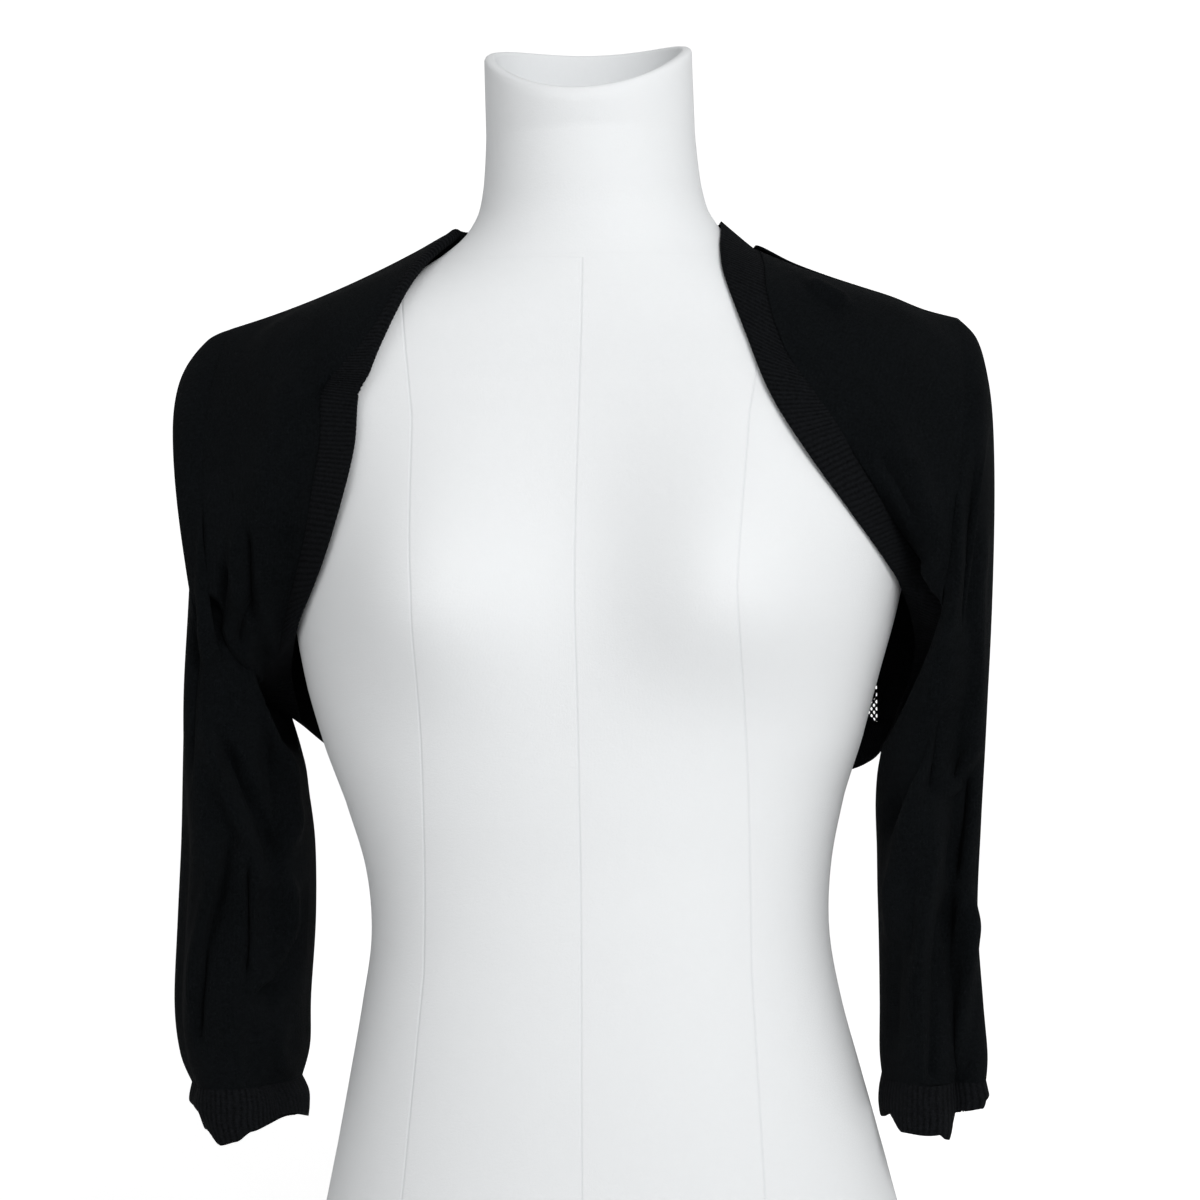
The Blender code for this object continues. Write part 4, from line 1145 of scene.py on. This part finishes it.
creasesSleeveBackLeft = readCreases((
    (((190, 450), (187, 400), (180, 350), (170, 312)), 4.5, 1.2, 0.25),
    (((184, 420), (178, 370), (168, 330)), 4.0, -1.5, 0.25),
    (((186, 300), (182, 250), (178, 200), (178, 150)), 5.0, -3.2, 0.2),
    (((164, 290), (162, 240), (160, 190)), 5.0, 2.2, 0.3),
))
creasesSleeveBackRight = readCreases((
    (((-199, 450), (-198, 400), (-192, 350), (-182, 310)), 4.5, 1.2, 0.25),
    (((-194, 420), (-188, 370), (-180, 330)), 4.0, -1.5, 0.25),
    (((-204, 300), (-206, 250), (-208, 200), (-205, 150)), 5.0, -3.2, 0.2),
    (((-180, 290), (-180, 240), (-178, 190)), 5.0, 2.2, 0.3),
))


def foldHeight(folds, turn, height):
    total = 0.0
    for top, turnTop, end, turnEnd, spread, depth in folds:
        share = (top - height) / (top - end)
        middle = turnTop + (turnEnd - turnTop) * share
        away = (turn - middle + 180.0) % 360.0 - 180.0
        startFade = 1.0 / (1.0 + math.exp(-(top - height) / sleeveSizes["foldFade"]))
        endFade = 1.0 / (1.0 + math.exp(-(height - end) / sleeveSizes["foldFade"]))
        total += depth * math.exp(-0.5 * (away / spread) ** 2) * startFade * endFade
    return total


def ringPoint(row, turn, folds):
    # turn 0 is the outer line, 90 the front, 180 the inner line
    outerX, outerZ, innerX, innerZ, middleY, halfDepth, square = row
    angle = math.radians(turn)
    outer = Vector((outerX, 0.0, outerZ))
    inner = Vector((innerX, 0.0, innerZ))
    middle = (outer + inner) * 0.5
    arm = (outer - inner) * 0.5
    across = math.copysign(abs(math.cos(angle)) ** (2.0 / square), math.cos(angle))
    deep = math.copysign(abs(math.sin(angle)) ** (2.0 / square), math.sin(angle))
    lift = foldHeight(folds, turn, middle.z)
    point = middle + arm * across * (1.0 + lift / arm.length * abs(math.cos(angle)))
    point.y = middleY - halfDepth * deep * (1.0 + lift / halfDepth * abs(math.sin(angle)))
    return point


def makeSleeve(name, node, rows, armhole, folds, creases, backCreases):
    sizes = sleeveSizes
    sides = sizes["sides"]
    turns = [360.0 * j / sides for j in range(sides)]
    seams = [ringSpline(armhole, turn) for turn in turns]
    plains = [ringPoint(rows[0], turn, folds) for turn in turns]
    grid = []
    for i in range(sizes["rings"]):
        place = i / (sizes["rings"] - 1)
        row = spline(rows, place)
        blend = max(0.0, 1.0 - place / sizes["armholeBlend"])
        blend = blend * blend * (3.0 - 2.0 * blend)
        line = []
        for turn, seam, plain in zip(turns, seams, plains):
            line.append(ringPoint(row, turn, folds) + (seam - plain) * blend)
        grid.append(line)
    faces = ((frontSide, creases), (backSide, backCreases))
    grid = layCloth(grid, faces, layFacing(grid), closed=True)

    def sleeveUv(down, around, point):
        return (around * sizes["round"], down * sizes["length"])

    piece = gridMesh(name, grid, knitCloth, sleeveUv, closed=True)
    finishPiece(piece, sizes["wall"], node)
    return piece


def layFacing(grid):
    # outward direction at the grid's middle point
    i = len(grid) // 2
    j = len(grid[0]) // 2
    centre = sum(grid[i], Vector()) / len(grid[i])
    return (grid[i][j] - centre).normalized()


# how far the cuff's edge rises or drops on the front side: x and lift
cuffWaveLeft = ((140, 13), (147, 10), (155, 0), (173, -2), (178, -6), (182, 7), (195, 8), (199, 13))
cuffWaveRight = ((-220, 18), (-216, 16), (-211, 7), (-201, -2), (-193, -1), (-185, 3), (-171, 7), (-162, 4),
                 (-154, 10))


def waveLift(wave, x):
    for low, high in zip(wave, wave[1:]):
        if x <= high[0]:
            t = softStep(x, low[0], high[0])
            return low[1] + (high[1] - low[1]) * t
    return wave[-1][1]


def makeCuff(name, node, rows, folds, wave):
    sizes = sleeveSizes
    band = ribBand
    ribs = band["cuffRibs"]
    sides = ribs * band["stepsPerRib"]
    turns = [360.0 * j / sides for j in range(sides)]
    grid = []
    for i in range(sizes["cuffRings"]):
        place = i / (sizes["cuffRings"] - 1)
        row = spline(rows, place)
        line = []
        for turn in turns:
            point = ringPoint(row, turn, folds)
            facing = softStep(row[4] - point.y, *sizes["cuffFront"])
            point.z += waveLift(wave, point.x) * place * place * facing
            line.append(point)
        grid.append(line)
    normals = gridNormals(grid, closed=True)
    flip = 1.0 if normals[len(grid) // 2][sides // 2].dot(layFacing(grid)) > 0.0 else -1.0
    for line, facing in zip(grid, normals):
        for j in range(sides):
            rib = 0.5 - 0.5 * math.cos(2.0 * math.pi * j / band["stepsPerRib"])
            line[j] = line[j] + facing[j] * (flip * band["ribDepth"] * 0.5 * rib)

    def cuffUv(down, around, point):
        return (around * ribs / band["ribsToMetre"], down * band["cuffDepth"])

    piece = gridMesh(name, grid, ribCloth, cuffUv, closed=True)
    finishPiece(piece, band["wall"], node)
    return piece


def makeLace(inset):
    piece = gridMesh("laceInset", inset, laceYarn, backUv, outward=backSide)
    finishPiece(piece, panelSizes["laceWall"], "back_lace")
    return piece


bandPieces = [
    makeBand("bandNeck", bandNeck, "band_neck", True, backSide),
    makeBand("bandFrontLeft", bandFrontLeft, "band_front_left", False, frontSide),
    makeBand("bandFrontRight", bandFrontRight, "band_front_right", True, frontSide),
    makeBand("bandHem", bandHem, "band_hem", False, backSide),
]
print("rib band made")

frontLeft = makeFront("frontLeft", "front_left", bandFrontLeft, armholeLeft, creasesFrontLeft,
                      Vector((1, 0, 0)))
frontRight = makeFront("frontRight", "front_right", bandFrontRight, armholeRight, creasesFrontRight,
                       Vector((-1, 0, 0)))
print("fronts made")
backPanel, laceGrid = makeBack()
laceInset = makeLace(laceGrid)
print("back and lace made")

sleeveLeft = makeSleeve("sleeveLeft", "sleeve_left", sleeveLeftRows, armholeLeft, foldsLeft,
                        creasesSleeveLeft, creasesSleeveBackLeft)
sleeveRight = makeSleeve("sleeveRight", "sleeve_right", sleeveRightRows, armholeRight, foldsRight,
                         creasesSleeveRight, creasesSleeveBackRight)
cuffLeft = makeCuff("cuffLeft", "cuff_left", cuffLeftRows, foldsLeft, cuffWaveLeft)
cuffRight = makeCuff("cuffRight", "cuff_right", cuffRightRows, foldsRight, cuffWaveRight)
print("sleeves made")
studio = {
    "distance": 1700.0,       # camera to the object's middle
    "turn": 5.0,              # camera stands this far round to the wearer's left
    "height": 385.0,
    "field": 636.0,           # width seen at that distance
    "roll": 1.0,
    "floorDrop": 0.5,
    "floorFront": -5.0,       # the sweep, in metres
    "wallDepth": 4.4,
    "wallHeight": 4.6,
    "sweepRadius": 0.9,
    "halfWidth": 6.0,
    "worldLight": 0.42,
    "backdropGlow": 0.58,
    "keyPower": 34.0,
    "fillPower": 4.0,
}


def makeCamera():
    data = bpy.data.cameras.new("studioCamera")
    camera = bpy.data.objects.new("studioCamera", data)
    bpy.context.scene.collection.objects.link(camera)
    turn = math.radians(studio["turn"])
    distance = studio["distance"] * mm
    camera.location = (math.sin(turn) * distance, -math.cos(turn) * distance, studio["height"] * mm)
    camera.rotation_mode = "XYZ"
    camera.rotation_euler = (math.radians(90.0), math.radians(studio["roll"]), turn)
    data.sensor_fit = "HORIZONTAL"
    data.angle = 2.0 * math.atan(studio["field"] / 2.0 / studio["distance"])
    data.clip_start = 0.05
    bpy.context.scene.camera = camera
    return camera


def areaLight(name, place, target, size, power, tint=(1.0, 1.0, 1.0)):
    data = bpy.data.lights.new(name, "AREA")
    data.shape = "DISK"
    data.size = size
    data.energy = power
    data.color = tint
    light = bpy.data.objects.new(name, data)
    light.location = place
    light.rotation_mode = "QUATERNION"
    light.rotation_quaternion = (Vector(target) - Vector(place)).to_track_quat("-Z", "Y")
    bpy.context.scene.collection.objects.link(light)
    return light


def plainMaterial(name, colour):
    material = bpy.data.materials.new(name)
    material.use_nodes = True
    shader = material.node_tree.nodes["Principled BSDF"]
    shader.inputs["Base Color"].default_value = colour
    shader.inputs["Roughness"].default_value = 0.9
    shader.inputs["Specular IOR Level"].default_value = 0.1
    shader.inputs["Emission Color"].default_value = (1.0, 1.0, 1.0, 1.0)
    # the glow only shows to the camera, so it doesn't light the form
    bench = NodeBench(material.node_tree)
    light = bench.add("ShaderNodeLightPath")
    bench.wire(bench.math("MULTIPLY", light.outputs["Is Camera Ray"], studio["backdropGlow"]),
               shader.inputs["Emission Strength"])
    return material


def makeStudio():
    # the floor sweeps up into the backdrop
    profile = [(studio["floorFront"], 0.0), (studio["wallDepth"] - studio["sweepRadius"], 0.0)]
    for k in range(1, 13):
        angle = math.pi / 2.0 * k / 12
        profile.append((studio["wallDepth"] - studio["sweepRadius"] * (1.0 - math.sin(angle)),
                        studio["sweepRadius"] * (1.0 - math.cos(angle))))
    profile.append((studio["wallDepth"], studio["wallHeight"]))
    mesh = bmesh.new()
    bmesh.ops.create_grid(mesh, x_segments=1, y_segments=len(profile) - 1, size=studio["halfWidth"])
    mesh.verts.ensure_lookup_table()
    for i, vert in enumerate(mesh.verts):
        y, z = profile[i // 2]
        vert.co = (vert.co.x, y, z - studio["floorDrop"] * mm)
    bmesh.ops.recalc_face_normals(mesh, faces=mesh.faces)
    data = bpy.data.meshes.new("studioSweep")
    mesh.to_mesh(data)
    mesh.free()
    data.polygons.foreach_set("use_smooth", [True] * len(data.polygons))
    data.materials.append(plainMaterial("paleBackdrop", (0.97, 0.97, 0.97, 1.0)))
    sweep = bpy.data.objects.new("studioSweep", data)
    bpy.context.scene.collection.objects.link(sweep)
    world = bpy.data.worlds.new("studioLight")
    bpy.context.scene.world = world
    world.use_nodes = True
    background = world.node_tree.nodes["Background"]
    background.inputs["Color"].default_value = (1.0, 1.0, 1.0, 1.0)
    bench = NodeBench(world.node_tree)
    light = bench.add("ShaderNodeLightPath")
    bench.wire(bench.math("MULTIPLY_ADD", light.outputs["Is Camera Ray"], 1.0 - studio["worldLight"],
                          studio["worldLight"]), background.inputs["Strength"])


makeCamera()
makeStudio()
areaLight("softKey", (1.1, -1.9, 1.5), (0.0, 0.0, 0.4), 1.2, studio["keyPower"])
areaLight("softFill", (-1.8, -1.3, 0.9), (0.0, 0.0, 0.35), 1.2, studio["fillPower"])
bpy.context.scene.view_settings.view_transform = "Standard"
print("studio made")
